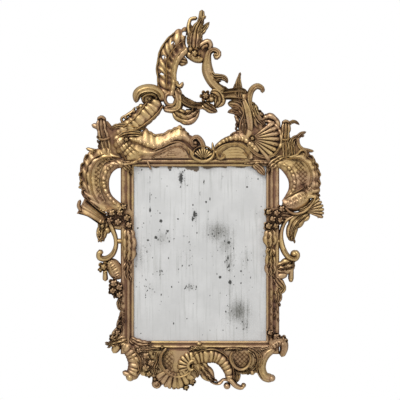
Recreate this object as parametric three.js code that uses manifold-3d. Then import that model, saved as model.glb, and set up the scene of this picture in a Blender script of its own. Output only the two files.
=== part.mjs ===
// A carved and gilded rococo wall mirror: one openwork wooden frame, cut with scrolls, shell bands,
// leaves and flowers, around an old silvered glass plate with a plain wooden board behind it.
//
// Millimetres, +Z up. The wall is the plane y = 0 and the mirror stands out from it towards -y. The
// origin is on the back of the top rail, at mid-width, where the mirror hangs against the wall.
//
// Places on the carving are read off a squared drawing, as a carver sets one out: [across, up] in
// squares from the origin. A rise is how far a form's front stands out from the wall, in millimetres.

import * as THREE from "three";
import { LoftGeometry } from "three/addons/geometries/LoftGeometry.js";
import { mergeVertices } from "three/addons/utils/BufferGeometryUtils.js";
import Module from "manifold-3d";

const wasm = await Module();
wasm.setup();

// Driving dimensions
const SQUARE = 4; // one square of the drawing; the whole mirror is 380 squares high
const SIGHT_HALF_WIDTH = 66 * SQUARE; // the glass that shows, from the middle to a side rail
const SIGHT_TOP = -6.5 * SQUARE;
const SIGHT_BOTTOM = -180.5 * SQUARE;
const GLASS_THICK = 4;
const BOARD_THICK = 7;
const FIT = 0.4; // the air left around the glass and the board
const REBATE = 12; // how far the glass and the board reach under the rails
const BACK = 5; // the carving's back is cut this far clear of the wall
const GLASS_BACK = BOARD_THICK + 2 * FIT;
const GLASS_FRONT = GLASS_BACK + GLASS_THICK;
const POCKET_FRONT = GLASS_FRONT + FIT;
const OVER_GLASS = POCKET_FRONT + 1; // the back of leaves that lie over the glass

// How finely the solids are cut
const STATION_PITCH = 9.5 * SQUARE; // spacing of the sections along a plain form
const CUT_TOLERANCE = 1.5; // edges shorter than this close up where forms are joined
const RIB_GROOVE = 0.16; // depth of the groove between two ribs, as a share of the form's height

// Cross-sections of the carved bands as [side, height], both as shares of the form's half-width and
// height, from the left edge over the front to the right edge and back behind. Height 0 is the back.
const ROLL = [[1, 0], [0.6, 1], [-0.6, 1], [-1, 0]]; // a scroll, its front eased at both edges
const SCOOP = [[1, 0.8], [0, 0.66], [-1, 1], [-0.8, 0], [0.8, 0]]; // hollow, its left edge the higher
const RIDGE = [[1, 0.55], [0, 1], [-1, 0.55], [0, 0]]; // a leaf, undercut on both sides

// The rails' moulding as [distance out from the sight edge, rise], from the sight edge over the front.
const RAIL_WIDTH = 13 * SQUARE;
const RAIL_PROFILE = [
  [0, POCKET_FRONT],
  [0, 20],
  [10, 22],
  [17, 34],
  [30, 30],
  [46, 33],
  [RAIL_WIDTH, 24],
  [RAIL_WIDTH, 0],
  [REBATE, 0],
  [REBATE, POCKET_FRONT],
];

const FRONT = new THREE.Vector3(0, -1, 0);
const at = ([across, up]) => new THREE.Vector3(across * SQUARE, 0, up * SQUARE);

// A closed geometry as a solid, with its shared vertices merged.
function solid(geometry) {
  const bare = new THREE.BufferGeometry();
  bare.setAttribute("position", geometry.getAttribute("position"));
  bare.setIndex(geometry.getIndex());
  const merged = mergeVertices(bare, 1e-4);
  return new wasm.Manifold(
    new wasm.Mesh({
      numProp: 3,
      vertProperties: merged.getAttribute("position").array,
      triVerts: new Uint32Array(merged.getIndex().array),
      tolerance: CUT_TOLERANCE,
    }),
  );
}

// A solid's triangles as a geometry.
function geometryOf(shape) {
  const { vertProperties, triVerts } = shape.getMesh();
  const geometry = new THREE.BufferGeometry();
  geometry.setAttribute("position", new THREE.BufferAttribute(vertProperties, 3));
  geometry.setIndex(new THREE.BufferAttribute(triVerts, 1));
  return geometry;
}

const joined = (shapes) => shapes.reduce((whole, shape) => whole.add(shape));

// The one body of a joined solid, without the specks of air that crossing forms close in.
const largest = (shape) => shape.decompose().sort((one, other) => other.volume() - one.volume())[0];

// The value at t, from 0 to 1, of a list of values spread evenly along a form.
function along(values, t) {
  const place = t * (values.length - 1);
  const before = Math.min(Math.floor(place), values.length - 2);
  return THREE.MathUtils.lerp(values[before], values[before + 1], place - before);
}

// A carved band: a cross-section carried along a smooth curve through the path's points. half is the
// half-width in squares and rise the height, both spread along the path. Ribs cross it like the
// flutes of a shell, and scallops bite into its two edges.
function band(path, half, rise, { shape = ROLL, ribs = 0, scallops = 0, back = BACK } = {}) {
  const curve = new THREE.CatmullRomCurve3(path.map(at), false, "catmullrom", 0.5);
  const waves = ribs || scallops;
  const steps = waves ? 2 * waves : Math.max(2, Math.ceil(curve.getLength() / STATION_PITCH));
  const sections = [];
  for (let step = 0; step <= steps; step++) {
    const t = step / steps;
    const middle = curve.getPointAt(t);
    const ahead = curve.getTangentAt(t);
    const left = new THREE.Vector3(-ahead.z, 0, ahead.x);
    const groove = waves && step % 2 === 0 ? RIB_GROOVE : 0;
    const width = along(half, t) * SQUARE * (scallops ? 1 - groove : 1);
    const height = (along(rise, t) - back) * (ribs ? 1 - groove : 1);
    sections.push(
      shape.map(([side, share]) =>
        middle
          .clone()
          .addScaledVector(left, side * width)
          .addScaledVector(FRONT, back + height * share),
      ),
    );
  }
  return solid(new LoftGeometry(sections, { capStart: true, capEnd: true }));
}

// One guide curve of a web: its path, its rise from end to end, how deep the grooves cut it and how
// far they bite its edge in towards the guide beside it.
function guide(path, rise, { groove = 0, bite = 0 } = {}) {
  const curve = new THREE.CatmullRomCurve3(path.map(at), false, "catmullrom", 0.5);
  return { curve, rise, groove, bite };
}

// A carved web: one surface stretched over guide curves that run side by side, listed from the left
// as they run, with straight walls down to the back at its two edges. Every second station is a groove.
function web(guides, steps, back = BACK) {
  const sections = [];
  for (let step = 0; step <= steps; step++) {
    const t = step / steps;
    const cut = step % 2 === 0 ? 1 : 0;
    const places = guides.map(({ curve }) => curve.getPointAt(t));
    const front = guides.map(({ rise, groove, bite }, index) => {
      const neighbour = places[index === 0 ? 1 : index - 1];
      const height = (along(rise, t) - back) * (1 - groove * cut);
      return places[index].clone().lerp(neighbour, bite * cut).addScaledVector(FRONT, back + height);
    });
    const edges = [front.at(-1), front[0]].map((point) => point.clone().setY(-back));
    sections.push([...front, ...edges]);
  }
  return solid(new LoftGeometry(sections, { capStart: true, capEnd: true }));
}

// Rings of [size, rise] stacked from the back to the front, each the outline scaled about its middle.
function stacked(middle, outline, rings) {
  const centre = at(middle);
  const sections = rings.map(([size, rise]) =>
    outline.map((point) => centre.clone().addScaledVector(point, size).addScaledVector(FRONT, rise)),
  );
  return solid(new LoftGeometry(sections, { capStart: true, capEnd: true }));
}

// A flower, bud or ball: a round boss, with its rim cut into petals where it has them.
function boss(middle, radius, rise, { petals = 0, back = BACK } = {}) {
  const sides = petals ? 2 * petals : 5;
  const outline = Array.from({ length: sides }, (_, side) => {
    const angle = (2 * Math.PI * side) / sides;
    const reach = radius * SQUARE * (petals && side % 2 ? 0.74 : 1);
    return new THREE.Vector3(Math.cos(angle) * reach, 0, Math.sin(angle) * reach);
  });
  return stacked(middle, outline, [[1, back], [0.7, rise]]);
}

// A shell that opens from a hinge: ribs fan out between two angles, given in degrees
// counterclockwise from the right, from the inner to the outer radius.
function fan(hinge, [inner, outer], [from, to], [riseHinge, riseRim], ribs, back = BACK) {
  const steps = 2 * ribs;
  const sections = [];
  for (let step = 0; step <= steps; step++) {
    const angle = THREE.MathUtils.degToRad(THREE.MathUtils.lerp(from, to, step / steps));
    const spoke = new THREE.Vector3(Math.cos(angle), 0, Math.sin(angle));
    const groove = step % 2 === 0 ? RIB_GROOVE : 0;
    const rim = outer * (1 - groove / 2);
    const cut = 1 - groove;
    sections.push(
      [
        [inner, back],
        [inner, back + (riseHinge - back) * cut],
        [rim, back + (riseRim - back) * cut],
        [rim - 1, back],
      ].map(([reach, rise]) =>
        at(hinge).addScaledVector(spoke, reach * SQUARE).addScaledVector(FRONT, rise),
      ),
    );
  }
  return solid(new LoftGeometry(sections, { capStart: true, capEnd: true }));
}

// Flat ground between the scrolls: a straight-sided panel of the carving's board.
function ground(points, rise, back = BACK) {
  const corners = points.map(([across, up]) => new THREE.Vector2(across, up).multiplyScalar(SQUARE));
  const outline = new THREE.Shape(corners);
  const slab = new THREE.ExtrudeGeometry(outline, { depth: rise - back, bevelEnabled: false });
  slab.rotateX(Math.PI / 2);
  slab.translate(0, -back, 0);
  return solid(mergeVertices(slab.deleteAttribute("normal").deleteAttribute("uv")));
}

// A block between two corners, each [x, y, z].
function block(low, high) {
  const size = high.map((value, axis) => value - low[axis]);
  const box = new THREE.BoxGeometry(...size);
  box.translate(...low.map((value, axis) => value + size[axis] / 2));
  return box;
}

// The four mitred rails, as one moulding carried round the sight edge.
function rails() {
  const corners = [
    [-1, SIGHT_BOTTOM, -1],
    [1, SIGHT_BOTTOM, -1],
    [1, SIGHT_TOP, 1],
    [-1, SIGHT_TOP, 1],
  ];
  const sections = [...corners, corners[0]].map(([side, height, up]) =>
    RAIL_PROFILE.map(
      ([out, rise]) => new THREE.Vector3(side * (SIGHT_HALF_WIDTH + out), -rise, height + up * out),
    ),
  );
  return solid(new LoftGeometry(sections));
}

// The crest: an upright shell band curling round an open C-scroll, a plume above it, and a fluted
// stem that comes down on the right to a flower.
function crest() {
  return {
    shell: web(
      [
        guide(
          [[-12, 106.5], [-17, 101.5], [-21.2, 95], [-23.3, 86], [-23.4, 77], [-26, 64]],
          [46, 46],
        ),
        guide(
          [[-13, 110.5], [-19.5, 104.5], [-24.4, 96.5], [-26.6, 86], [-26.6, 77], [-29, 63.8]],
          [54, 54],
        ),
        guide(
          [[-14.5, 115], [-22.5, 108], [-28, 99], [-30.5, 86.5], [-30, 76], [-32, 63.8]],
          [38, 38],
          { groove: 0.2 },
        ),
        guide(
          [[-15, 124], [-26, 117], [-33, 107], [-36, 93], [-35.5, 79], [-35.5, 64]],
          [48, 44],
          { groove: 0.2 },
        ),
        guide(
          [
            [-12.5, 133], [-23.3, 129.7], [-30.5, 123], [-36, 115.5], [-40.2, 108], [-41.6, 101],
            [-44, 93], [-42, 84], [-42, 76], [-39.5, 66],
          ],
          [32, 32],
          { bite: 0.22 },
        ),
      ],
      20,
    ),
    shellCurl: band(
      [[-24.5, 79], [-22.5, 74.5], [-19.5, 73], [-16.8, 77.5]],
      [2.8, 2.4, 2.2, 1.6],
      [54, 52, 52, 54],
    ),
    innerBarb: band(
      [[-24, 99.6], [-18, 98.6], [-12.2, 97]],
      [4.5, 5.2, 4.2],
      [40, 42, 38],
      { shape: RIDGE },
    ),
    plume: band(
      [[-6.5, 108], [-6, 119], [-4, 130], [1, 140], [2, 149.5]],
      [4.5, 6.6, 5, 3.2, 3.6],
      [50, 48, 44, 42, 38],
      { shape: RIDGE },
    ),
    plumeKnob: band([[1, 138], [4, 143], [5.5, 141]], [2, 2, 1.6], [40, 40, 36]),
    plumeTip: band(
      [[-3, 124], [3.3, 130], [9.4, 137.5]],
      [4, 3.4, 1.2],
      [42, 40, 34],
      { shape: RIDGE },
    ),
    plumeLoop: band(
      [[-9, 120], [-11.4, 130], [-11, 136], [-9, 140.4], [-2.5, 141.6]],
      [3.2, 2.6, 2.1, 1.8, 2],
      [42, 42, 40, 38, 38],
    ),
    topCurl: band(
      [[-2, 112], [4, 116], [8.5, 117.5], [10.5, 113], [8, 109]],
      [3, 3.4, 3.2, 2.8, 2],
      [48, 52, 56, 56, 52],
    ),
    eyeFlower: boss([-5.5, 105.5], 6, 56, { petals: 5 }),
    crown: band([[-14, 107.4], [-4.5, 100.6], [4, 99.8]], [4, 3.6, 3.2], [42, 46, 46]),
    fluteStem: band(
      [
        [26, 67], [16.5, 73], [11, 80], [7.6, 89], [7, 98], [8.6, 106.5], [13.5, 109.6],
        [18.4, 106.6], [17, 103], [13.5, 103],
      ],
      [5.4, 4.6, 4.9, 5.4, 5.8, 4.8, 3.6, 2.8, 3, 3],
      [40, 44, 46, 46, 46, 50, 54, 56, 58, 60],
    ),
    stemLeaf: band(
      [[9, 88], [14, 82.5], [21, 82.6], [25.5, 80.6], [27.5, 76.5]],
      [3, 4.2, 3.6, 2.8, 1.4],
      [46, 46, 44, 42, 38],
      { shape: RIDGE },
    ),
    knotFlower: boss([5.5, 63.5], 6.2, 58, { petals: 6 }),
    knotLeafRight: band(
      [[10, 67], [17, 65.5], [19.5, 59.5], [15, 52]],
      [4.4, 6, 6.4, 3],
      [44, 48, 46, 38],
      { shape: RIDGE },
    ),
    knotLeafLow: band(
      [[2, 57], [8, 52.6], [13, 49.8], [17.5, 48]],
      [4.5, 5.2, 4.4, 1.8],
      [46, 46, 42, 36],
      { shape: RIDGE },
    ),
    garland: band(
      [[-22, 65], [-17, 59], [-9, 54.4], [0, 53.6], [6, 55.4]],
      [4.6, 4.4, 3.6, 3.4, 3],
      [42, 46, 46, 46, 44],
      { shape: SCOOP },
    ),
    footRoll: band(
      [[-24, 72], [-21.5, 62], [-22, 53], [-27, 50.5], [-37, 51.5]],
      [4.5, 4.6, 4.8, 4, 3.4],
      [44, 50, 52, 48, 42],
    ),
    footLeaf: band(
      [[-27, 50], [-20, 44.6], [-13, 42.6], [-6, 46], [-1, 52]],
      [3.5, 7, 8.6, 6.4, 2.6],
      [42, 48, 50, 44, 38],
      { shape: RIDGE },
    ),
    eyelet: band(
      [[-24.3, 61], [-27, 65.4], [-33, 65.2], [-35, 60], [-32, 54.9], [-26, 55.2], [-24.3, 60]],
      [2, 2, 2, 2, 2, 2, 2],
      [42, 42, 42, 42, 42, 42, 42],
    ),
    crownBed: ground(
      [[-14, 109], [-9, 99], [4, 98.5], [11, 108], [8, 113], [0, 118], [-8, 121]],
      36,
    ),
  };
}

// The left shoulder: a wide ribbed arm that rolls over at its top, the corner post, and a
// gadrooned roll that runs right along the top rail.
function leftShoulder() {
  return {
    arm: band(
      [[-84, 26], [-67.5, 34], [-55.8, 44], [-47.4, 52], [-41.6, 61]],
      [4, 9, 9.8, 9.8, 8.4],
      [36, 42, 46, 50, 50],
      { ribs: 8 },
    ),
    hood: band(
      [[-37.5, 58], [-39.5, 65.5], [-47, 69.8], [-56, 69.6], [-62.4, 65.5], [-64, 57]],
      [4, 5, 5.4, 5.4, 4.8, 1.8],
      [46, 56, 62, 62, 58, 48],
    ),
    armBud: boss([-58.5, 53], 3.4, 40),
    twig: band(
      [[-75, 34], [-78.5, 41], [-73, 44.5], [-67.5, 48], [-64.5, 53]],
      [1.6, 1.4, 1.6, 2, 0.8],
      [32, 32, 32, 32, 30],
    ),
    post: band(
      [[-91, 1], [-93, 12], [-95.5, 22], [-98, 32], [-98.4, 42.5]],
      [6, 5.4, 6, 5.8, 4.8],
      [40, 42, 46, 48, 44],
      { shape: RIDGE },
    ),
    postTip: band([[-97, 31], [-103.5, 33.6], [-108.2, 35]], [3.6, 3, 2.2], [38, 36, 34]),
    plate: ground(
      [
        [-101.5, 9], [-101, 18], [-96, 24], [-95, 41], [-91, 36], [-86, 32.5], [-79, 35], [-60, 29],
        [-48, 12], [-50, -2], [-66, -4], [-98, -2],
      ],
      31,
    ),
    plateLeaf: band(
      [[-56, -1], [-66, 9], [-78, 19], [-88, 27]],
      [7, 10.5, 9.5, 3.5],
      [38, 46, 48, 42],
      { shape: RIDGE },
    ),
    rollLeaf: band(
      [[-12, 20], [-16, 27], [-20, 33]],
      [3.5, 3.4, 1.4],
      [42, 42, 36],
      { shape: RIDGE },
    ),
    hoodFill: boss([-52, 61.5], 7, 46),
  };
}

// The middle of the top rail: a volute with its cup, and an arched panel on each side.
function topRail() {
  return {
    leftArcade: web(
      [
        guide(
          [
            [-70, 25], [-62, 25], [-55, 32.3], [-48, 28], [-42, 26], [-35, 28.4], [-27, 32],
            [-19, 34.6], [-12.5, 27], [-5, 22],
          ],
          [30, 34],
          { bite: 0.16 },
        ),
        guide(
          [
            [-70, 21], [-60, 19], [-50, 15], [-42, 14], [-33, 18], [-25, 22], [-16, 23], [-9, 18.5],
            [-5, 14],
          ],
          [50, 50],
        ),
        guide(
          [
            [-70, 17], [-60, 14.5], [-50, 10.5], [-42, 9.5], [-33, 13.5], [-25, 17], [-17, 17.5],
            [-10, 13.5], [-5, 9],
          ],
          [36, 36],
        ),
        guide(
          [
            [-70, 12], [-60, 8], [-50, 6.5], [-43, 8.5], [-33, 12.5], [-25, 15.5], [-18, 15.5],
            [-11, 11], [-6, 5],
          ],
          [46, 46],
        ),
        guide(
          [
            [-70, 6], [-60, 4], [-48, 3.5], [-41, 6], [-33, 9], [-25, 11], [-18, 11], [-12, 7],
            [-8, 3],
          ],
          [37, 37],
        ),
        guide([[-70, 1], [-39, 1], [-8, 1]], [36, 36]),
      ],
      12,
    ),
    rightArcade: web(
      [
        guide(
          [[14, 12], [22, 18.6], [30, 23.4], [35.5, 28.4], [43, 29.6], [51, 27.3], [58, 20]],
          [34, 32],
          { bite: 0.16 },
        ),
        guide([[14, 12.5], [24, 19], [33, 22], [43, 21], [51, 15.5], [58, 8]], [46, 46]),
        guide([[14, 9.5], [24, 15.5], [33, 18.5], [42, 17.8], [49, 13], [54, 6]], [36, 36]),
        guide([[15, 7], [24, 13.5], [33, 16], [42, 14.5], [48.5, 9.5], [51.5, 1]], [46, 46]),
        guide([[17, 4], [25, 10], [33, 12], [41, 10.5], [46, 6], [48, 0]], [37, 37]),
        guide([[16, 1], [32, 0], [47, -1]], [36, 36]),
      ],
      10,
    ),
    rightCurl: band(
      [[18, 10], [17, 4.5], [20, 1], [24.3, 3], [22.5, 6.5]],
      [1.8, 1.8, 1.8, 1.6, 1.3],
      [46, 46, 48, 50, 50],
    ),
    cup: ground([[-9, 3], [-8, 18.5], [-1, 20.5], [5, 11.5], [13.6, 10], [13, 3]], 34),
    volute: band(
      [[3, 6], [2.6, 15], [-2.6, 22.3], [-8.5, 19.5], [-7, 13.5], [-2, 14.5]],
      [2.5, 3, 3, 2.6, 2, 1.5],
      [42, 50, 54, 56, 58, 58],
    ),
    cupEdge: band(
      [[-11, 12], [-7.5, 3.5], [0, -1], [8, -0.5], [13.5, 5], [14, 13]],
      [1.8, 2, 2.2, 2.2, 2, 1.2],
      [44, 46, 46, 46, 44, 40],
    ),
    cupSpike: band([[13.5, 8], [12.2, 18]], [2.4, 0.6], [40, 34]),
  };
}

// The right shoulder: a smooth C-scroll with a flame leaf, a ribbed shell under it, and the stems
// that step down to the right wing.
function rightShoulder() {
  return {
    body: web(
      [
        guide([[50, 68], [49.5, 60], [51, 52], [56, 45], [62, 38], [66, 30]], [40, 40]),
        guide([[47, 66], [46, 57], [47.5, 48], [51.5, 40], [54, 31], [54, 22]], [36, 36]),
        guide([[43, 65], [43, 56], [46, 48], [48, 40], [49, 30], [48, 21]], [44, 44]),
        guide([[41, 65], [41.5, 56], [43.8, 48], [44.5, 40], [44.5, 30], [43, 21]], [36, 36]),
        guide([[37, 64], [40.3, 55], [41.8, 46], [40, 38], [38.5, 28], [37, 21]], [46, 40]),
      ],
      6,
    ),
    arm: band(
      [[19, 64], [29, 65.3], [37, 65.3], [48, 64]],
      [4.2, 5.2, 6.4, 6],
      [42, 44, 46, 44],
      { shape: SCOOP },
    ),
    flame: band(
      [[39.5, 63], [38.3, 72], [38.4, 79], [40.2, 87.5]],
      [8.5, 5, 2.6, 1.2],
      [42, 40, 36, 32],
      { shape: RIDGE },
    ),
    cScroll: band(
      [
        [62.3, 66.8], [62, 71], [57, 73.6], [51.8, 70], [49.4, 63], [50, 55], [53.5, 47.5],
        [59, 41.5], [65, 35],
      ],
      [2, 2.8, 3.2, 3.2, 2.8, 2.5, 2.4, 2.4, 1.8],
      [52, 54, 54, 50, 48, 46, 46, 46, 42],
    ),
    innerLeaf: band(
      [[45, 43], [42, 50], [36.5, 55], [27.6, 56.6]],
      [3, 5.6, 5.6, 3],
      [44, 46, 42, 36],
      { shape: RIDGE },
    ),
    innerLeafLow: band(
      [[44, 41], [38, 47], [33, 48.7], [27.4, 47.6]],
      [3, 3.6, 3.2, 1.6],
      [42, 40, 36, 32],
      { shape: RIDGE },
    ),
    innerEdge: band(
      [[35, 45], [38, 38.5], [41.5, 31]],
      [1.6, 2.4, 2.4],
      [34, 36, 34],
      { scallops: 3 },
    ),
    outerLeaf: band(
      [[51, 58], [54.6, 53], [57.4, 47.5], [64, 43.8]],
      [1.6, 3, 3.2, 2.6],
      [34, 36, 36, 36],
      { scallops: 3 },
    ),
    outerLobes: band(
      [[62, 41], [70, 43.5], [76, 39], [79, 32]],
      [2.6, 3.6, 3.2, 2.2],
      [40, 44, 44, 42],
      { scallops: 3 },
    ),
    shell: fan([51, 21], [4, 27], [-56, 42], [40, 50], 6),
    shellRim: band(
      [[62, 39], [70, 37.5], [77, 32.5], [80.5, 24], [80, 14], [74, 7]],
      [2.4, 2.6, 2.6, 2.6, 2.6, 2],
      [48, 50, 52, 52, 50, 46],
      { scallops: 4 },
    ),
    shellScroll: band(
      [[47, 18], [50, 11], [57, 5], [66, 2.8], [74, 5.5], [79.5, 13]],
      [1.8, 2.2, 2.4, 2.4, 2, 1.4],
      [44, 46, 48, 48, 48, 50],
    ),
    post: band(
      [[86, 0], [85.4, 12], [84.6, 22], [85.3, 31], [85.3, 39]],
      [5, 4.8, 4.6, 5.4, 4.2],
      [40, 42, 44, 46, 42],
      { shape: RIDGE },
    ),
    postBranch: band(
      [[85, 33], [91, 37.5], [95, 38], [99.3, 35]],
      [2.6, 2.2, 1.8, 0.7],
      [42, 38, 36, 34],
      { shape: RIDGE },
    ),
    stem: band(
      [[92, 2], [91, 13], [92.4, 19.8], [97, 22.4], [101.6, 26.2], [106, 28]],
      [4, 4.2, 4, 3.2, 2.6, 1.2],
      [40, 42, 42, 40, 36, 32],
      { shape: RIDGE },
    ),
    stemRoll: band(
      [[97, 23], [98, 15], [102, 10.5], [108, 9.3], [113.6, 8.6]],
      [2, 2.2, 2.4, 2.2, 1.1],
      [44, 44, 42, 40, 36],
    ),
    bed: ground(
      [[44, 16], [62, 36], [80, 33], [88, 24], [97, 16], [104, 8], [102, -3], [44, -4]],
      31,
    ),
  };
}

// The right wing: a tall ear with a beaded inner roll, a trellis panel and a lobed outer edge,
// ending below in a shell, a hanging leaf and a thin stem.
function rightWing() {
  return {
    ear: web(
      [
        guide(
          [[96, 8], [105, 9.4], [113, 2.8], [118.2, -6.5], [120, -16.8], [120, -27], [118.5, -38]],
          [32, 32],
          { bite: 0.3 },
        ),
        guide(
          [
            [94, 5.5], [103, 5.5], [110.5, -0.5], [115, -8.5], [116.6, -17], [116.4, -27],
            [115, -38],
          ],
          [42, 42],
          { groove: 0.2 },
        ),
        guide(
          [[88, 3], [98, 2], [105.5, -3], [109.8, -11], [110.6, -20], [109.5, -28], [108, -38]],
          [48, 46],
        ),
        guide(
          [[86, 1.5], [94, -0.5], [100, -6.5], [103, -14], [103, -23], [101, -31], [97, -40]],
          [36, 36],
        ),
        guide(
          [[77, -3], [85.5, -5.8], [91, -13], [93.6, -21.5], [93, -30], [89.5, -36.5], [86, -44]],
          [46, 46],
          { groove: 0.1 },
        ),
        guide(
          [
            [76, -7], [80.3, -9.3], [84.8, -14.5], [88.2, -21], [88.4, -28.5], [85.4, -35],
            [81.5, -41],
          ],
          [34, 34],
        ),
      ],
      14,
    ),
    knot: boss([109, -29], 6, 50, { petals: 5 }),
    basket: band(
      [[82, -46], [92, -42.8], [100, -38.6], [109.5, -33]],
      [5, 9.4, 10, 7],
      [42, 50, 52, 46],
    ),
    basketArc: band(
      [[84, -47], [90, -52.5], [97, -53.8], [105, -50.5], [112, -43], [116, -35]],
      [1.6, 1.7, 1.8, 1.8, 1.6, 1.4],
      [50, 52, 52, 52, 50, 46],
    ),
    shellEnd: fan([103, -51], [4, 20.5], [-23, 44], [40, 46], 4),
    hangingLeaf: band(
      [[109, -52.4], [99.4, -58.5], [93.4, -65], [91, -73], [91.6, -81.3]],
      [5.6, 6.8, 7.2, 5.4, 4.4],
      [42, 44, 44, 42, 36],
      { shape: RIDGE },
    ),
    stem: band(
      [
        [94, -55.5], [86, -60.5], [81.7, -69], [80.8, -80], [83.4, -90], [88.4, -97], [94.6, -98.8],
        [97.2, -94.5], [94, -90.5],
      ],
      [1.6, 1.9, 2.1, 2.3, 2.9, 3, 2.9, 2.8, 2.6],
      [44, 40, 36, 36, 38, 42, 48, 50, 50],
    ),
    stemBall: boss([94.2, -94], 4.2, 48),
    stemTie: band([[74, -81], [81, -81]], [2.8, 2.4], [32, 32]),
    cluster: band(
      [[75, -108], [84, -106.5], [94.6, -104]],
      [5.4, 8.2, 7.8],
      [40, 46, 42],
      { shape: RIDGE },
    ),
    clusterBead: band([[91, -107], [90.6, -121]], [2.6, 2.9], [40, 38]),
    leafUpper: band(
      [[74, -116], [79, -123], [82.5, -128], [77, -134]],
      [3.5, 5.2, 3.8, 2.6],
      [38, 42, 40, 36],
      { shape: RIDGE },
    ),
    leafMiddle: band(
      [[76, -129], [78.5, -136], [75, -145]],
      [3.6, 4, 1.6],
      [36, 40, 34],
      { shape: RIDGE },
    ),
    leafLower: band(
      [[75, -146], [76.8, -154], [76, -161]],
      [1.4, 2.6, 1.2],
      [32, 34, 30],
      { shape: RIDGE },
    ),
    flowers: flowers(
      [
        [68, -52, 4.5], [72, -59, 4.5], [68, -66, 5], [76, -53, 4.6], [79.5, -60, 4.4],
        [81, -49, 4.8], [75, -66, 4.2],
      ],
    ),
    railLeafUpper: band(
      [[70, -68], [70, -79], [70, -88]],
      [6.6, 7.6, 6.4],
      [40, 44, 42],
      { shape: RIDGE, back: OVER_GLASS },
    ),
    railLeafMiddle: band(
      [[70.5, -87], [70.5, -98], [70.5, -108], [71, -117]],
      [6.2, 5.4, 6.6, 4.4],
      [42, 42, 42, 38],
      { shape: RIDGE },
    ),
    cornerFlowers: flowers([[75.5, -176, 5], [69.5, -172, 4], [82.5, -179.6, 5]]),
    basketLeaf: band(
      [[78, -54.5], [86, -55.5], [94, -56]],
      [5, 5, 3],
      [40, 42, 38],
      { shape: RIDGE },
    ),
    clusterCurl: band([[76, -117], [81, -115.5], [87.4, -114]], [4, 3.8, 2.6], [38, 38, 36]),
  };
}

// The left wing: the same ear turned over, wider in its ribbed scoop and with a flared lower end.
function leftWing() {
  return {
    ear: web(
      [
        guide(
          [
            [-77, -8], [-82.6, -8.8], [-87.6, -13], [-90.4, -20], [-90.4, -28], [-88, -35],
            [-82, -40.8], [-76, -45],
          ],
          [36, 36],
        ),
        guide(
          [
            [-76, -4], [-85, -4], [-92, -9.5], [-95.6, -17.8], [-95, -27.2], [-91, -36],
            [-85, -42.6], [-79, -49],
          ],
          [48, 48],
          { groove: 0.1 },
        ),
        guide(
          [
            [-78, 0.5], [-87, 0.5], [-97, -5.5], [-101, -15.5], [-100.5, -28], [-96, -38.5],
            [-91, -46], [-86, -53],
          ],
          [36, 36],
        ),
        guide(
          [
            [-80, 3], [-92, 3], [-103, -2], [-108.5, -12], [-108.3, -24], [-106, -34], [-102, -42],
            [-96, -51],
          ],
          [48, 46],
        ),
        guide(
          [
            [-84, 5], [-98, 5], [-109, -1], [-113.8, -12], [-113.8, -24], [-113, -34], [-110, -40],
            [-105, -46],
          ],
          [44, 42],
          { groove: 0.2 },
        ),
        guide(
          [
            [-88, 8], [-104, 11.5], [-113.5, 5], [-118.3, -4], [-120.4, -13], [-119.8, -22],
            [-118.8, -30], [-117, -39],
          ],
          [32, 32],
          { bite: 0.3 },
        ),
      ],
      14,
    ),
    tipSide: band([[-115, -26], [-121.4, -27.6]], [2, 1.6], [36, 32]),
    flare: band(
      [[-93, -63], [-101, -56.4], [-109, -50.6], [-118.5, -45.6]],
      [5.4, 6, 6.6, 8.8],
      [40, 44, 46, 40],
      { shape: SCOOP },
    ),
    flowers: flowers(
      [
        [-88, -53, 5], [-80, -53, 5], [-73, -58, 5], [-82, -62, 5], [-90, -60, 4.6],
        [-76, -47, 4.4], [-71, -65, 4.8],
      ],
    ),
    drop: band(
      [[-95, -58], [-97.2, -68], [-99, -81.6]],
      [6, 5.8, 4.6],
      [40, 42, 38],
      { shape: RIDGE },
    ),
    stem: band(
      [
        [-91, -60], [-87.4, -69], [-84.2, -78], [-84.1, -87], [-87.6, -94.5], [-94, -98.6],
        [-100, -97.4], [-100, -92.4], [-96.5, -92.6],
      ],
      [2.4, 2.7, 2.4, 2.2, 2.4, 2.8, 3, 3, 3],
      [40, 38, 38, 38, 40, 44, 48, 50, 52],
    ),
    stemTie: band([[-85, -81], [-76, -81]], [2.4, 2.8], [32, 32]),
    ribLeaf: band([[-91, -99], [-85.4, -108], [-80, -119]], [5.4, 7.6, 6.4], [40, 46, 40]),
    lump: boss([-95.8, -106.6], 6.2, 44, { petals: 5 }),
    dropBud: band([[-94.8, -109], [-94.4, -121]], [2, 3], [36, 36]),
    cluster: flowers(
      [[-86, -123, 5.4], [-80.5, -127, 5], [-87, -130.4, 4.6], [-80.5, -134.5, 4.6]],
    ),
    bud: band(
      [[-78.6, -136], [-80.2, -145], [-76.5, -151]],
      [2.8, 3.4, 2],
      [34, 38, 32],
      { shape: RIDGE },
    ),
    trail: band(
      [[-77, -149], [-78.5, -161], [-81, -171], [-86.8, -179.4]],
      [2.2, 4, 5, 6.4],
      [30, 34, 38, 40],
      { shape: RIDGE },
    ),
    railLeafUpper: band(
      [[-71.5, -68], [-70.5, -80], [-70.5, -92], [-72, -103]],
      [6.2, 7.2, 7.2, 5.6],
      [40, 44, 44, 38],
      { shape: RIDGE, back: OVER_GLASS },
    ),
    railLeafLower: band(
      [[-72, -101], [-72, -112], [-70.5, -122]],
      [5.4, 5.2, 3.4],
      [40, 40, 36],
      { shape: RIDGE },
    ),
    tipTop: band([[-103, 7.5], [-109, 10], [-113.8, 11.6]], [3, 2.2, 1.4], [36, 36, 32]),
    dropKnob: boss([-92.6, -70], 4, 40),
    stemLink: band([[-87, -66.4], [-77, -67.6]], [2.6, 2.8], [34, 34]),
  };
}

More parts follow.
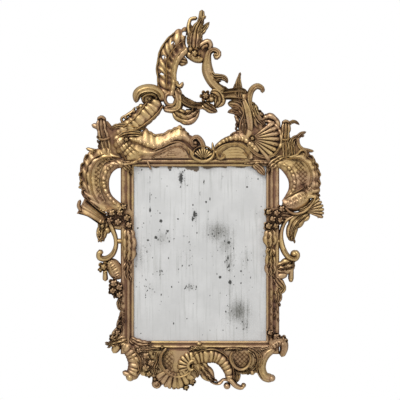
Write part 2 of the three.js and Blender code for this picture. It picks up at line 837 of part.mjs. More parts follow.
// The apron: a ribbed arch under the bottom rail, a ringed cartouche over a shell, and a leg
// scroll at each lower corner.
function apron() {
  return {
    bedLeft: ground(
      [
        [-74, -184], [2, -184], [6, -200], [1, -212], [-4, -217], [-18, -219], [-40, -217],
        [-58, -214.5], [-66, -206], [-68, -196],
      ],
      36,
    ),
    bedRight: ground(
      [
        [0, -184], [70, -184], [62, -198], [60, -212], [50, -212], [38, -208], [28, -200],
        [16, -190], [2, -196],
      ],
      36,
    ),
    leftCornerLeaf: band(
      [[-72, -178], [-84, -182], [-94.5, -184]],
      [6, 5.2, 1],
      [42, 42, 36],
      { shape: RIDGE },
    ),
    leftCornerBud: band([[-81, -183], [-86.6, -192.6]], [5.4, 3.4], [38, 36]),
    leftLeg: band(
      [[-77, -183], [-69, -190.5], [-64.6, -200], [-65.4, -209], [-69.8, -219]],
      [4.8, 7.2, 7.8, 7, 6.2],
      [44, 46, 48, 48, 48],
      { ribs: 6 },
    ),
    leftLegTip: band([[-68, -215], [-77.4, -211.4]], [4, 2.2], [46, 38]),
    leftFlowers: flowers(
      [[-54, -195, 5.2], [-49, -202, 5.2], [-54.5, -207, 5.4], [-51, -213, 4], [-61, -190, 4.4]],
    ),
    ring: band(
      [
        [-33, -187], [-38, -193], [-38.7, -202], [-34, -210], [-26, -215], [-17, -215],
        [-9.5, -210], [-7, -202],
      ],
      [1.6, 1.8, 1.9, 1.9, 1.9, 1.9, 1.9, 1.6],
      [50, 52, 52, 52, 52, 52, 52, 48],
    ),
    ringScroll: band(
      [[-20, -195], [-13, -196.5], [-9.5, -203], [-13, -210.5], [-20, -212], [-23, -206]],
      [2.6, 3.4, 3.8, 3.8, 3, 1.4],
      [46, 50, 54, 54, 50, 46],
    ),
    shell: fan([-25, -206], [9, 22.5], [213, 322], [44, 42], 7),
    shellCurl: boss([-43.2, -223.2], 5.2, 42),
    shellKnobs: flowers([[-14, -226.5, 3.2], [-8, -221, 4]]),
    arch: band(
      [
        [-11, -203], [-4, -197], [5, -195], [14, -195], [21.6, -199], [27, -206.5], [29.5, -214],
        [29, -222],
      ],
      [4.4, 7, 7.6, 7.2, 6.4, 5.6, 4.8, 3.6],
      [48, 52, 52, 52, 50, 48, 46, 42],
      { ribs: 10 },
    ),
    archFoot: band(
      [[29, -217], [35, -224.5], [41.5, -227], [44, -223]],
      [3.4, 2.8, 2.4, 1.4],
      [44, 46, 48, 48],
    ),
    archKnob: boss([27, -225.4], 3.6, 40),
    innerLeaf: band(
      [[-2, -201], [4, -209], [9.6, -216], [14, -221]],
      [5.4, 7, 6.6, 3.2],
      [42, 44, 42, 38],
      { shape: RIDGE },
    ),
    innerTwig: band(
      [[10, -220], [15, -223], [20, -222.3], [23.5, -219], [29, -220]],
      [1.8, 1.3, 2, 1.4, 1.6],
      [36, 34, 34, 34, 36],
    ),
    rightRing: band(
      [[30.5, -194], [34, -204], [40, -208.5], [47, -206], [50.5, -198]],
      [1.5, 1.7, 1.8, 1.7, 1.5],
      [46, 48, 48, 48, 46],
    ),
    rightLeaf: band(
      [[47, -187], [55.5, -192], [57.5, -201], [53, -208.5], [46, -211], [40, -212.5]],
      [3, 4.4, 4.6, 3.6, 2.8, 2],
      [42, 46, 46, 44, 42, 42],
      { shape: RIDGE },
    ),
    rightKnob: boss([52, -211.5], 3.2, 44),
    rightLeg: band(
      [[75, -187], [66.4, -191.5], [61.6, -200], [61, -209], [65, -216.4], [73, -217.8]],
      [4.6, 5.8, 5.4, 5, 4.6, 4.6],
      [44, 46, 46, 46, 48, 50],
    ),
    rightHood: band(
      [[69, -186], [77, -181.2], [82.4, -181.8], [83.8, -188], [81.2, -196.4]],
      [4.6, 6, 5, 4, 3],
      [44, 50, 50, 46, 38],
    ),
    archLeaf: band(
      [[33, -206], [36.6, -213], [36.5, -222]],
      [4, 4, 2.4],
      [38, 40, 38],
      { shape: RIDGE },
    ),
  };
}

// Leaves that lap from the carving over the corners of the rails.
function cornerLeaves() {
  return {
    topLeft: band(
      [[-80, -1], [-73, -7], [-67.5, -12]],
      [3, 4.2, 1.6],
      [42, 42, 36],
      { shape: RIDGE, back: OVER_GLASS },
    ),
    topLeftHook: band(
      [[-53, 1], [-51, -5], [-48.5, -10]],
      [1.8, 1.4, 0.6],
      [38, 32, 26],
      { back: OVER_GLASS },
    ),
    topRight: band(
      [[84, 3], [75, -2.5], [67.5, -9]],
      [4, 5.2, 3.6],
      [44, 44, 38],
      { shape: RIDGE, back: OVER_GLASS },
    ),
    topRightLow: band(
      [[53, -4], [60, -9.5], [64.5, -15.5]],
      [2.6, 4, 1.8],
      [38, 38, 32],
      { shape: RIDGE, back: OVER_GLASS },
    ),
    bottomLeft: band(
      [[-70, -178], [-60, -183.5], [-48, -183.5]],
      [3.4, 5, 2.2],
      [38, 42, 36],
      { shape: RIDGE, back: OVER_GLASS },
    ),
    bottomMiddle: boss([-1, -183.5], 3, 38),
  };
}

// Small flowers, each [across, up, radius], joined into one piece of carving.
function flowers(places) {
  return joined(places.map(([across, up, radius]) => boss([across, up], radius, 48)));
}

// The holes pierced through the crest's shell band and under it, each [across, up, half-width, half-height].
const PIERCED = [
  [-15.5, 125.5, 2.8, 2.6],
  [-27, 116, 2.3, 2.2],
  [-36, 102, 2, 1.7],
  [-38.5, 85, 1.9, 1.5],
  [-29.5, 60, 4.8, 4],
  [-6, 136.5, 2.2, 3.4],
];

// Straight plugs through the whole depth of the carving, six-sided.
function pierced() {
  const DEEP = 100;
  return joined(
    PIERCED.map(([across, up, halfWidth, halfHeight]) => {
      const plug = new THREE.CylinderGeometry(SQUARE, SQUARE, 2 * DEEP, 6);
      plug.scale(halfWidth, 1, halfHeight);
      plug.translate(across * SQUARE, 0, up * SQUARE);
      return solid(plug);
    }),
  );
}

// The recess behind the rails that takes the glass and the board.
function rebatePocket() {
  const reach = REBATE;
  return solid(
    block(
      [-SIGHT_HALF_WIDTH - reach, -POCKET_FRONT, SIGHT_BOTTOM - reach],
      [SIGHT_HALF_WIDTH + reach, 1, SIGHT_TOP + reach],
    ),
  );
}

function carvedFrame() {
  const regions = [crest, leftShoulder, topRail, rightShoulder, rightWing, leftWing, apron, cornerLeaves];
  const forms = regions.flatMap((region) => Object.values(region()));
  return largest(joined([rails(), ...forms]).subtract(pierced()).subtract(rebatePocket()));
}

// A flat sheet lying in the rebate, between two distances from the wall.
function sheetInRebate(behind, before) {
  const reach = REBATE - FIT;
  return block(
    [-SIGHT_HALF_WIDTH - reach, -before, SIGHT_BOTTOM - reach],
    [SIGHT_HALF_WIDTH + reach, -behind, SIGHT_TOP + reach],
  );
}

function piece(name, geometry, colour, roughness, metalness) {
  const material = new THREE.MeshStandardMaterial({ color: colour, roughness, metalness });
  const mesh = new THREE.Mesh(geometry, material);
  mesh.name = name;
  return mesh;
}

const mirror = new THREE.Group();
mirror.add(
  piece("carved_frame", geometryOf(carvedFrame()), 0x9a7440, 0.45, 0.6),
  piece("mirror_plate", sheetInRebate(GLASS_BACK, GLASS_FRONT), 0xd9dcdd, 0.1, 0.9),
  piece("backboard", sheetInRebate(FIT, FIT + BOARD_THICK), 0x7a5a3c, 0.85, 0),
);

export default mirror;
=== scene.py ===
import bpy
import numpy as np
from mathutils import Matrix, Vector


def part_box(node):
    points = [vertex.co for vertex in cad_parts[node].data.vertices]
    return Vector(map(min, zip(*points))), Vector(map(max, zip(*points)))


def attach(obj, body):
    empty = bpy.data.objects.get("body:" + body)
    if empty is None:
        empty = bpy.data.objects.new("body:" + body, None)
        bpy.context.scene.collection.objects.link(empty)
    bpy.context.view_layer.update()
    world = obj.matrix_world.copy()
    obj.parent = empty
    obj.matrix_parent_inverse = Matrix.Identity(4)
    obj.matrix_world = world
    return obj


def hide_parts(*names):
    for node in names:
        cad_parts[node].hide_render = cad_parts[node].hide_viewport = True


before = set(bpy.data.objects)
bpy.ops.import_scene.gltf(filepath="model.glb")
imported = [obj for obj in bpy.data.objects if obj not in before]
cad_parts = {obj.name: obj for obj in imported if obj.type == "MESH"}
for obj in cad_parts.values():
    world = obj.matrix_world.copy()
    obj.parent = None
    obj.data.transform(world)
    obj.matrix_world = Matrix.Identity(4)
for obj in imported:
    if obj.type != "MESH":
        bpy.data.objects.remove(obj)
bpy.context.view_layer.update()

# In its colour the gold is also painted with light: a painted highlight on the tops of the forms, painted
# shade in the grooves, the hollows and along the edges.
# Carved frame
# One openwork piece of limewood boards, glued up and cut with scrolls, shells and leaves, then
# covered in gesso, red-brown bole and gold leaf that handling and dusting have worn through.
# Its rails lie flat on the wall; the rest is cut clear of it.

# Places are [across, up] in squares of the carver's drawing, counted from the middle of the top
# rail; half-widths are in squares too. A rise is a form's height above the wall, in millimetres.
SQUARE = 0.004
MM = 0.001
BACK = 5  # rise of the flat back that the scrolls and leaves are cut to
OVER_GLASS = 13.2  # the same for leaves that lap over the plate
FINE = 1.5  # spacing of the stations along a form, in squares
ACROSS = 11  # points across a plain band
PER_RIB = 5  # stations or points to one rib
NARROW = 2.4  # half-width of a band too narrow for that many points across, in squares


def smooth(points, steps=16):
    """Fine points on a smooth curve through the given ones. Between two of them it is a cubic, whose
    slope at each is half the step from the point before to the point after; past both ends the
    points are drawn out straight."""
    p = np.asarray(points, float)
    if p.ndim == 1:
        p = p[:, None]
    p = np.vstack([2 * p[0] - p[1], p, 2 * p[-1] - p[-2]])
    count = len(p) - 3
    place = np.linspace(0, count, steps * count + 1)
    k = np.minimum(place.astype(int), count - 1)
    f = (place - k)[:, None]
    a, b, c, d = p[k], p[k + 1], p[k + 2], p[k + 3]
    return 0.5 * (2 * b + (c - a) * f + (2 * a - 5 * b + 4 * c - d) * f**2 + (3 * b - a - 3 * c + d) * f**3)


def along(points, t):
    """The places at shares t of the length of the smooth curve through points, and that length."""
    fine = smooth(points)
    length = np.concatenate([[0], np.cumsum(np.linalg.norm(np.diff(fine, axis=0), axis=1))])
    place = np.asarray(t) * length[-1]
    return np.stack([np.interp(place, length, axis) for axis in fine.T], -1), length[-1]


def spread(values, t):
    """Values given evenly from end to end of a form, or one for all of it, read at shares t."""
    if np.isscalar(values):
        return np.full(len(t), float(values))
    fine = smooth(values)[:, 0]
    return np.interp(t, np.linspace(0, 1, len(fine)), fine)


def placed(across, up, rise):
    """Points in metres, from places in squares and rises in millimetres."""
    return np.stack([across * SQUARE, -rise * MM, up * SQUARE], -1)


def swell(phase):
    """Rounded ribs with sharp grooves between: 0 in a groove, at each whole phase, and 1 on top."""
    return np.abs(np.sin(np.pi * phase)) ** 0.7


def uneven(phase):
    """Phases a little spread and crowded in turn, as ribs set out by eye are."""
    return phase + 0.17 * np.sin(1.9 * phase) + 0.1 * np.sin(0.83 * phase)


def closed_shell(front, gold_and_painted_light, back, holes=()):
    """A closed piece from the grid of its front, stations by points across. Walls drop straight from
    both edges to the back, and each end is closed by its own section. The second argument is the
    gold share at each point of the front, painted with light: painted shade down to 0 in the deep
    cuts, a painted highlight up to 1 on the tops; the walls and the back get 0, painted shade.
    Holes, each [across, up, half-width, half-height], are pierced through to the back, with walls:
    points inside one are moved out to its rim, and the faces between them are left out."""
    stations, across, _ = front.shape
    front = front.copy()
    cut = np.zeros((stations, across), bool)
    for x, z, half_width, half_height in holes:
        middle = np.array([x, z]) * SQUARE
        size = np.array([half_width, half_height]) * SQUARE
        away = (front[..., [0, 2]] - middle) / size
        far = np.linalg.norm(away, axis=-1)
        inside = far < 1
        rim = middle + away / np.maximum(far, 1e-3)[..., None] * size
        front[..., [0, 2]] = np.where(inside[..., None], rim, front[..., [0, 2]])
        cut |= inside
    columns = slice(None, None, -1) if holes else [-1, 0]
    rear = front[:, columns].copy()
    rear[..., 1] = -back * MM
    rings = np.concatenate([front, rear], 1)
    gold_and_shade = np.concatenate([gold_and_painted_light, np.zeros(rear.shape[:2])], 1)
    around = rings.shape[1]
    index = np.arange(stations * around).reshape(stations, around)
    nxt = np.roll(index, -1, 1)
    sides = np.stack([index[:-1], nxt[:-1], nxt[1:], index[1:]], -1)
    if not holes:
        faces = sides.reshape(-1, 4).tolist() + [index[0].tolist(), index[-1, ::-1].tolist()]
        return rings.reshape(-1, 3), faces, gold_and_shade.ravel()
    gone = cut[:-1, :-1] & cut[1:, :-1] & cut[:-1, 1:] & cut[1:, 1:]
    wall = np.zeros((stations - 1, 1), bool)
    kept = ~np.concatenate([gone, wall, gone[:, ::-1], wall], 1)
    face, behind = index[:, :across], index[:, across:][:, ::-1]
    flat = [sides[kept]]
    after, before, right, left = gone[1:], gone[:-1], gone[:, 1:], gone[:, :-1]
    rims = [
        (after & ~before, 1, 0, False), (before & ~after, 1, 0, True),
        (right & ~left, 0, 1, True), (left & ~right, 0, 1, False),
    ]
    for rim, ahead, aside, turned in rims:
        i, j = np.nonzero(rim)
        near, far = (i + ahead, j + aside), (i + 1, j + 1)
        quad = np.stack([face[near], face[far], behind[far], behind[near]], -1)
        flat.append(quad[:, ::-1] if turned else quad)
    quads = np.concatenate(flat)
    used, place = np.unique(np.concatenate([quads.ravel(), index[0], index[-1]]), return_inverse=True)
    quads = place[: quads.size].reshape(-1, 4).tolist()
    ends = place[-2 * around :]
    quads += [ends[:around].tolist(), ends[around:][::-1].tolist()]
    return rings.reshape(-1, 3)[used], quads, gold_and_shade.ravel()[used]


# Each shape gives a band's height across it and its gold share, which is painted light: a painted highlight
# on crowns and ridges, painted shade in hollows and towards the edges.
def roll(u):
    """A rounded scroll: its height and its gold share, as shares, from its left edge, where u is 1, to
    its right edge, where u is -1. The gold share is a painted highlight on the crown and painted
    shade towards the edges."""
    w = np.abs(u)
    return 0.3 + 0.7 * np.sqrt(np.clip(1 - w**2.4, 0, 1)), 1.05 - 0.75 * w**2


def scoop(u):
    """A hollow band between two raised edges, fluted along its length."""
    ridge = np.abs(np.cos(2 * np.pi * u)) ** 0.8
    return 0.62 + 0.12 * ridge + 0.3 * u**4, 0.5 + 0.3 * ridge + 0.25 * u**4


def leaf(u):
    """A leaf: a raised vein down its middle, a deep groove on each side of it and curled lips."""
    ridge = np.abs(np.cos(1.5 * np.pi * u)) ** 0.8
    w = np.abs(u)
    return 0.56 + 0.22 * ridge + 0.22 * (1 - w**2), 0.55 + 0.4 * ridge


def fluted(u):
    """A scroll cut along its length with three grooves."""
    ridge = np.abs(np.cos(2 * np.pi * u)) ** 0.7
    return roll(u)[0] * (0.82 + 0.18 * ridge), 0.4 + 0.5 * ridge


RIB_GROOVE = 0.17  # depth of the grooves between ribs, as a share of the height
SCALLOP_GROOVE = 0.13  # the same for scallops and leaves
LOBE_BITE = 0.22  # how far scallops and a leaf's notches cut in, as a share of the half-width
RIB_BITE = 0.06  # the same where ribs run out at the edge


def band(path, half, rise, shape=roll, ribs=0, scallops=0, back=BACK, round_ends=True):
    """A carved band along the smooth curve through path. Ribs cross it, scallops bite its two edges,
    and a leaf's edges are cut into lobes, with a groove running in from each notch."""
    length = along(path, [0])[1]
    waves = ribs or scallops
    count = max(6, int(length / FINE), PER_RIB * waves)
    t = np.linspace(0, 1, count + 1)
    across = ACROSS if shape is roll else 2 * ACROSS - 7
    if np.max(half) < NARROW:
        across = ACROSS // 2 + 2 if shape is roll else ACROSS - 4
    u = np.sin(np.linspace(np.pi / 2, -np.pi / 2, across))
    if shape is not roll:
        u = 0.4 * u + 0.6 * np.linspace(1, -1, across)
    middle = along(path, t)[0]
    ahead = np.gradient(middle, axis=0)
    ahead /= np.maximum(np.linalg.norm(ahead, axis=1), 1e-6)[:, None]
    left = np.stack([-ahead[:, 1], ahead[:, 0]], -1)
    width = spread(half, t)
    height = spread(rise, t) - back
    taper = np.ones_like(t)
    if round_ends:
        from_end = np.minimum(t, 1 - t) * length / np.maximum(width, 0.4)
        taper = np.sqrt(np.clip(1 - (1 - np.clip(from_end, 0, 1)) ** 2, 0.03, 1))
    T, U = np.meshgrid(t, u, indexing="ij")
    W = np.abs(U)
    cut = np.ones_like(T)
    edge = np.ones_like(T)
    if waves:
        cut = swell(uneven(waves * T) + 0.25 * U**2)
        edge = 1 - (LOBE_BITE if scallops else RIB_BITE) * (1 - cut)
    elif shape is leaf:
        lobes = max(2, round(length / (1.7 * width.max())))
        cut = swell(lobes * (T + 0.44 * W * width.max() / max(length, 1)))
        edge = 1 - LOBE_BITE * (1 - cut)
        cut = 1 - (1 - cut) * np.clip(W * 1.2, 0, 0.8)
    share, gold_and_shade_across = shape(U)
    groove = RIB_GROOVE if ribs else SCALLOP_GROOVE
    level = share * (1 - groove * (1 - cut)) * (0.55 + 0.45 * taper[:, None])
    reach = U * width[:, None] * edge * taper[:, None]
    flat = middle[:, None] + left[:, None] * reach[..., None]
    front = placed(flat[..., 0], flat[..., 1], back + height[:, None] * level)
    # Painted light in the gold share: painted shade in the grooves and towards each edge, which draws a
    # dark outline round the band, and a painted highlight along its crown.
    outline = np.clip((1.06 - W) * np.maximum(width, 1)[:, None] / 1.1, 0, 1)
    return closed_shell(front, gold_and_shade_across * (0.45 + 0.55 * cut) * (0.3 + 0.7 * outline), back)


def guide(path, rise, groove=0, bite=0):
    """One guide curve of a web: its path, its rise, how deep the grooves between ribs cut it, as a
    share of its height, and how far they bite it towards its neighbour, as a share of the way."""
    return path, rise, groove, bite


def web(guides, ribs, holes=()):
    """One carved surface stretched over guide curves that run side by side, listed from the left.
    Its ribs run across from guide to guide."""
    length = max(along(path, [0])[1] for path, *_ in guides)
    t = np.linspace(0, 1, max(int(length / FINE), PER_RIB * int(ribs)) + 1)
    cut = 1 - swell(uneven(ribs * t))
    rows = []
    places = [along(path, t)[0] for path, *_ in guides]
    for number, (path, rise, groove, bite) in enumerate(guides):
        beside = places[1 if number == 0 else number - 1]
        place = places[number] + (beside - places[number]) * (bite * cut)[:, None]
        height = (spread(rise, t) - BACK) * (1 - max(groove, 0.05) * cut)
        rows.append(np.column_stack([place, height, cut * (0.55 + 2 * max(groove, bite))]))
    rows = np.array(rows)
    fine = np.stack([smooth(rows[:, k], 5) for k in range(len(t))])
    across, up, height, depth = np.moveaxis(fine, -1, 0)
    low = height.min(1, keepdims=True)
    span = np.maximum(height.max(1, keepdims=True) - low, 1)
    # Painted light in the gold share: a painted highlight where the surface stands highest, painted shade
    # in the grooves between ribs and along both outer guides.
    gold_and_painted_light = (0.4 + 0.6 * np.clip((height - low) / span, 0, 1)) * np.clip(1 - 0.5 * depth, 0.05, 1)
    gold_and_painted_light[:, [0, -1]] *= 0.35
    return closed_shell(placed(across, up, BACK + height), gold_and_painted_light, BACK, holes)


def boss(middle, radius, rise, petals=0, rings=7, turn=0.0):
    """A flower or a ball, as rings from its foot on the ground of the carving to its middle. Petals
    cut its rim into lobes round a raised eye."""
    angle = np.linspace(0, 2 * np.pi, 6 * (petals or 2), endpoint=False)
    R, A = np.meshgrid(np.linspace(0, 1, rings), angle, indexing="ij")
    lobe = swell((A + turn) * petals / (2 * np.pi) + 0.5) if petals else np.ones_like(A)
    reach = radius * np.cos(R * np.pi / 2) ** 0.8 * (1 - 0.42 * (1 - lobe) * (1 - R))
    dome = np.sin(R * np.pi / 2) ** 0.8
    if petals:
        cup = 0.58 + 0.4 * np.sin(np.clip(R * 2.2, 0, 1) * np.pi / 2)
        round_eye = 0.34 * np.exp(-(((R - 0.62) / 0.12) ** 2))
        dome = (cup - round_eye + 0.08 * R) * (1 - 0.5 * (1 - lobe) * (1 - R))
        dome[0] = 0
    level = BACK + (rise - BACK) * dome
    points = placed(middle[0] + np.cos(A) * reach, middle[1] + np.sin(A) * reach, level)
    index = np.arange(R.size).reshape(R.shape)
    nxt = np.roll(index, -1, 1)
    faces = np.stack([index[:-1], nxt[:-1], nxt[1:], index[1:]], -1).reshape(-1, 4).tolist()
    faces += [index[-1].tolist(), index[0, ::-1].tolist()]
    # Painted light in the gold share: painted shade at the foot and between the petals, a painted highlight
    # on the dome and the lobes.
    gold_and_shade = np.clip(dome * 1.3 - 0.25, 0, 0.85) * (0.55 + 0.45 * lobe)
    return points.reshape(-1, 3), faces, gold_and_shade.ravel()


def ground(points, rise, gold_and_painted_light=0.4):
    """Flat ground between the scrolls, sawn to a straight-sided outline."""
    outline = np.asarray(points, float)
    x, z = outline.T
    if np.sum(x * np.roll(z, -1) - np.roll(x, -1) * z) < 0:
        outline = outline[::-1]
    n = len(outline)
    across, up = np.vstack([outline, outline]).T
    verts = placed(across, up, np.repeat([float(BACK), rise], n))
    faces = [[k, (k + 1) % n, n + (k + 1) % n, n + k] for k in range(n)]
    faces += [list(range(n, 2 * n)), list(range(n))[::-1]]
    # The top takes the given gold share; the walls get none, painted shade on the sides.
    return verts, faces, np.repeat([0, gold_and_painted_light], n)


# The holes pierced through the crest's shell band, each [across, up, half-width, half-height].
PIERCED = [[-15.5, 125.5, 2.8, 2.6], [-27, 116, 2.3, 2.2], [-36, 102, 2.6, 2.3], [-38.2, 85, 2.4, 2.2]]

# The crest: an upright shell band curling round an open C-scroll, a plume above it, and a fluted
# stem that comes down on the right to a flower.
crest = {
    "shell": web([
        guide([[-12, 106.5], [-17, 101.5], [-21.2, 95], [-23.3, 86], [-23.4, 77], [-26, 64]], 46),
        guide([[-13, 110.5], [-19.5, 104.5], [-24.4, 96.5], [-26.6, 86], [-26.6, 77], [-29, 63.8]], 54),
        guide(
            [[-14.5, 115], [-22.5, 108], [-28, 99], [-30.5, 86.5], [-30, 76], [-32, 63.8]], 38,
            groove=0.2),
        guide(
            [[-15, 124], [-26, 117], [-33, 107], [-36, 93], [-35.5, 79], [-35.5, 64]], [48, 44],
            groove=0.2),
        guide(
            [[-12.5, 133], [-23.3, 129.7], [-30.5, 123], [-36, 115.5], [-40.2, 108], [-41.6, 101],
             [-44, 93], [-42, 84], [-42, 76], [-39.5, 66]],
            32, bite=0.22),
    ], 10, holes=PIERCED),
    "shell_curl": band(
        [[-24.5, 79], [-22.5, 74.5], [-19.5, 73], [-16.8, 77.5]], [2.8, 2.4, 2.2, 1.6],
        [54, 52, 52, 54]),
    "inner_barb": band([[-24, 99.6], [-18, 98.6], [-12.2, 97]], [4.5, 5.2, 4.2], [40, 42, 38], leaf),
    "plume": band(
        [[-6.5, 108], [-6, 119], [-4, 130], [1, 140], [2, 149.5]], [4.5, 6.6, 5, 3.2, 3.6],
        [50, 48, 44, 42, 38], leaf),
    "plume_knob": band([[1, 138], [4, 143], [5.5, 141]], [2, 2, 1.6], [40, 40, 36]),
    "plume_tip": band([[-3, 124], [3.3, 130], [9.4, 137.5]], [4, 3.4, 1.2], [42, 40, 34], leaf),
    "plume_loop": band(
        [[-9, 120], [-11.4, 130], [-11, 136], [-9, 140.4], [-2.5, 141.6]], [3.2, 2.6, 2.1, 1.8, 2],
        [42, 42, 40, 38, 38]),
    "top_curl": band(
        [[-2, 112], [4, 116], [8.5, 117.5], [10.5, 113], [8, 109]], [3, 3.4, 3.2, 2.8, 2],
        [48, 52, 56, 56, 52]),
    "eye_flower": boss([-5.5, 105.5], 6, 56, petals=5),
    "crown": band([[-14, 107.4], [-4.5, 100.6], [4, 99.8]], [4, 3.6, 3.2], [42, 46, 46]),
    "flute_stem": band(
        [[26, 67], [16.5, 73], [11, 80], [7.6, 89], [7, 98], [8.6, 106.5], [13.5, 109.6], [18.4, 106.6],
         [17, 103], [13.5, 103]],
        [5.4, 4.6, 4.9, 5.4, 5.8, 4.8, 3.6, 2.8, 3, 3], [40, 44, 46, 46, 46, 50, 54, 56, 58, 60],
        fluted),
    "stem_leaf": band(
        [[9, 88], [14, 82.5], [21, 82.6], [25.5, 80.6], [27.5, 76.5]], [3, 4.2, 3.6, 2.8, 1.4],
        [46, 46, 44, 42, 38], leaf),
    "knot_flower": boss([5.5, 63.5], 6.2, 58, petals=6),
    "knot_leaf_right": band(
        [[10, 67], [17, 65.5], [19.5, 59.5], [15, 52]], [4.4, 6, 6.4, 3], [44, 48, 46, 38], leaf),
    "knot_leaf_low": band(
        [[2, 57], [8, 52.6], [13, 49.8], [17.5, 48]], [4.5, 5.2, 4.4, 1.8], [46, 46, 42, 36], leaf),
    "garland": band(
        [[-22, 65], [-17, 59], [-9, 54.4], [0, 53.6], [6, 55.4]], [4.6, 4.4, 3.6, 3.4, 3],
        [42, 46, 46, 46, 44], scoop),
    "foot_roll": band(
        [[-24, 72], [-21.5, 62], [-22, 53], [-27, 50.5], [-37, 51.5]], [4.5, 4.6, 4.8, 4, 3.4],
        [44, 50, 52, 48, 42], fluted),
    "foot_leaf": band(
        [[-27, 50], [-20, 44.6], [-13, 42.6], [-6, 46], [-1, 52]], [3.5, 7, 8.6, 6.4, 2.6],
        [42, 48, 50, 44, 38], leaf),
    "eyelet": band(
        [[-24.3, 61], [-27, 65.4], [-33, 65.2], [-35, 60], [-32, 54.9], [-26, 55.2], [-24.3, 60]], 2,
        42),
    "crown_bed": ground(
        [[-14, 109], [-9, 99], [4, 98.5], [11, 108], [8, 113], [0, 118], [-8, 121]], 36),
}

# The left shoulder: a wide ribbed arm that rolls over at its top, the corner post, and a
# gadrooned roll that runs right along the top rail.
left_shoulder = {
    "arm": band(
        [[-84, 26], [-67.5, 34], [-55.8, 44], [-47.4, 52], [-41.6, 61]], [4, 9, 9.8, 9.8, 8.4],
        [36, 42, 46, 50, 50], ribs=9),
    "hood": band(
        [[-37.5, 58], [-39.5, 65.5], [-47, 69.8], [-56, 69.6], [-62.4, 65.5], [-64, 57]],
        [4, 5, 5.4, 5.4, 4.8, 1.8], [46, 56, 62, 62, 58, 48], fluted),
    "arm_bud": boss([-58.5, 53], 3.4, 40),
    "twig": band(
        [[-75, 34], [-78.5, 41], [-73, 44.5], [-67.5, 48], [-64.5, 53]], [1.6, 1.4, 1.6, 2, 0.8],
        [32, 32, 32, 32, 30]),
    "post": band(
        [[-91, 1], [-93, 12], [-95.5, 22], [-98, 32], [-98.4, 42.5]], [6, 5.4, 6, 5.8, 4.8],
        [40, 42, 46, 48, 44], leaf),
    "post_tip": band([[-97, 31], [-103.5, 33.6], [-108.2, 35]], [3.6, 3, 2.2], [38, 36, 34]),
    "plate": ground(
        [[-101.5, 9], [-101, 18], [-96, 24], [-95, 41], [-91, 36], [-86, 32.5], [-79, 35], [-60, 29],
         [-48, 12], [-50, -2], [-66, -4], [-98, -2]],
        31),
    "roll_leaf": band([[-12, 20], [-16, 27], [-20, 33]], [3.5, 3.4, 1.4], [42, 42, 36], leaf),
    "hood_fill": boss([-52, 61.5], 7, 46),
}

# The middle of the top rail: a volute with its cup, and an arched panel on each side.
top_rail = {
    "left_arcade": web([
        guide(
            [[-70, 25], [-62, 25], [-55, 32.3], [-48, 28], [-42, 26], [-35, 28.4], [-27, 32],
             [-19, 34.6], [-12.5, 27], [-5, 22]],
            [30, 34], bite=0.16),
        guide(
            [[-70, 21], [-60, 19], [-50, 15], [-42, 14], [-33, 18], [-25, 22], [-16, 23], [-9, 18.5],
             [-5, 14]],
            50),
        guide(
            [[-70, 17], [-60, 14.5], [-50, 10.5], [-42, 9.5], [-33, 13.5], [-25, 17], [-17, 17.5],
             [-10, 13.5], [-5, 9]],
            36),
        guide(
            [[-70, 12], [-60, 8], [-50, 6.5], [-43, 8.5], [-33, 12.5], [-25, 15.5], [-18, 15.5],
             [-11, 11], [-6, 5]],
            46),
        guide(
            [[-70, 6], [-60, 4], [-48, 3.5], [-41, 6], [-33, 9], [-25, 11], [-18, 11], [-12, 7],
             [-8, 3]],
            37),
        guide([[-70, 1], [-39, 1], [-8, 1]], 36),
    ], 10),
    "right_arcade": web([
        guide(
            [[14, 12], [22, 18.6], [30, 23.4], [35.5, 28.4], [43, 29.6], [51, 27.3], [58, 20]],
            [34, 32], bite=0.16),
        guide([[14, 12.5], [24, 19], [33, 22], [43, 21], [51, 15.5], [58, 8]], 46),
        guide([[14, 9.5], [24, 15.5], [33, 18.5], [42, 17.8], [49, 13], [54, 6]], 36),
        guide([[15, 7], [24, 13.5], [33, 16], [42, 14.5], [48.5, 9.5], [51.5, 1]], 46),
        guide([[17, 4], [25, 10], [33, 12], [41, 10.5], [46, 6], [48, 0]], 37),
        guide([[16, 1], [32, 0], [47, -1]], 36),
    ], 7),
    "right_curl": band(
        [[18, 10], [17, 4.5], [20, 1], [24.3, 3], [22.5, 6.5]], [1.8, 1.8, 1.8, 1.6, 1.3],
        [46, 46, 48, 50, 50]),
    "cup": ground([[-9, 3], [-8, 18.5], [-1, 20.5], [5, 11.5], [13.6, 10], [13, 3]], 34),
    "volute": band(
        [[3, 6], [2.6, 15], [-2.6, 22.3], [-8.5, 19.5], [-7, 13.5], [-2, 14.5]],
        [2.5, 3, 3, 2.6, 2, 1.5], [42, 50, 54, 56, 58, 58], fluted),
    "cup_edge": band(
        [[-11, 12], [-7.5, 3.5], [0, -1], [8, -0.5], [13.5, 5], [14, 13]], [1.8, 2, 2.2, 2.2, 2, 1.2],
        [44, 46, 46, 46, 44, 40]),
    "cup_spike": band([[13.5, 8], [12.2, 18]], [2.4, 0.6], [40, 34]),
}


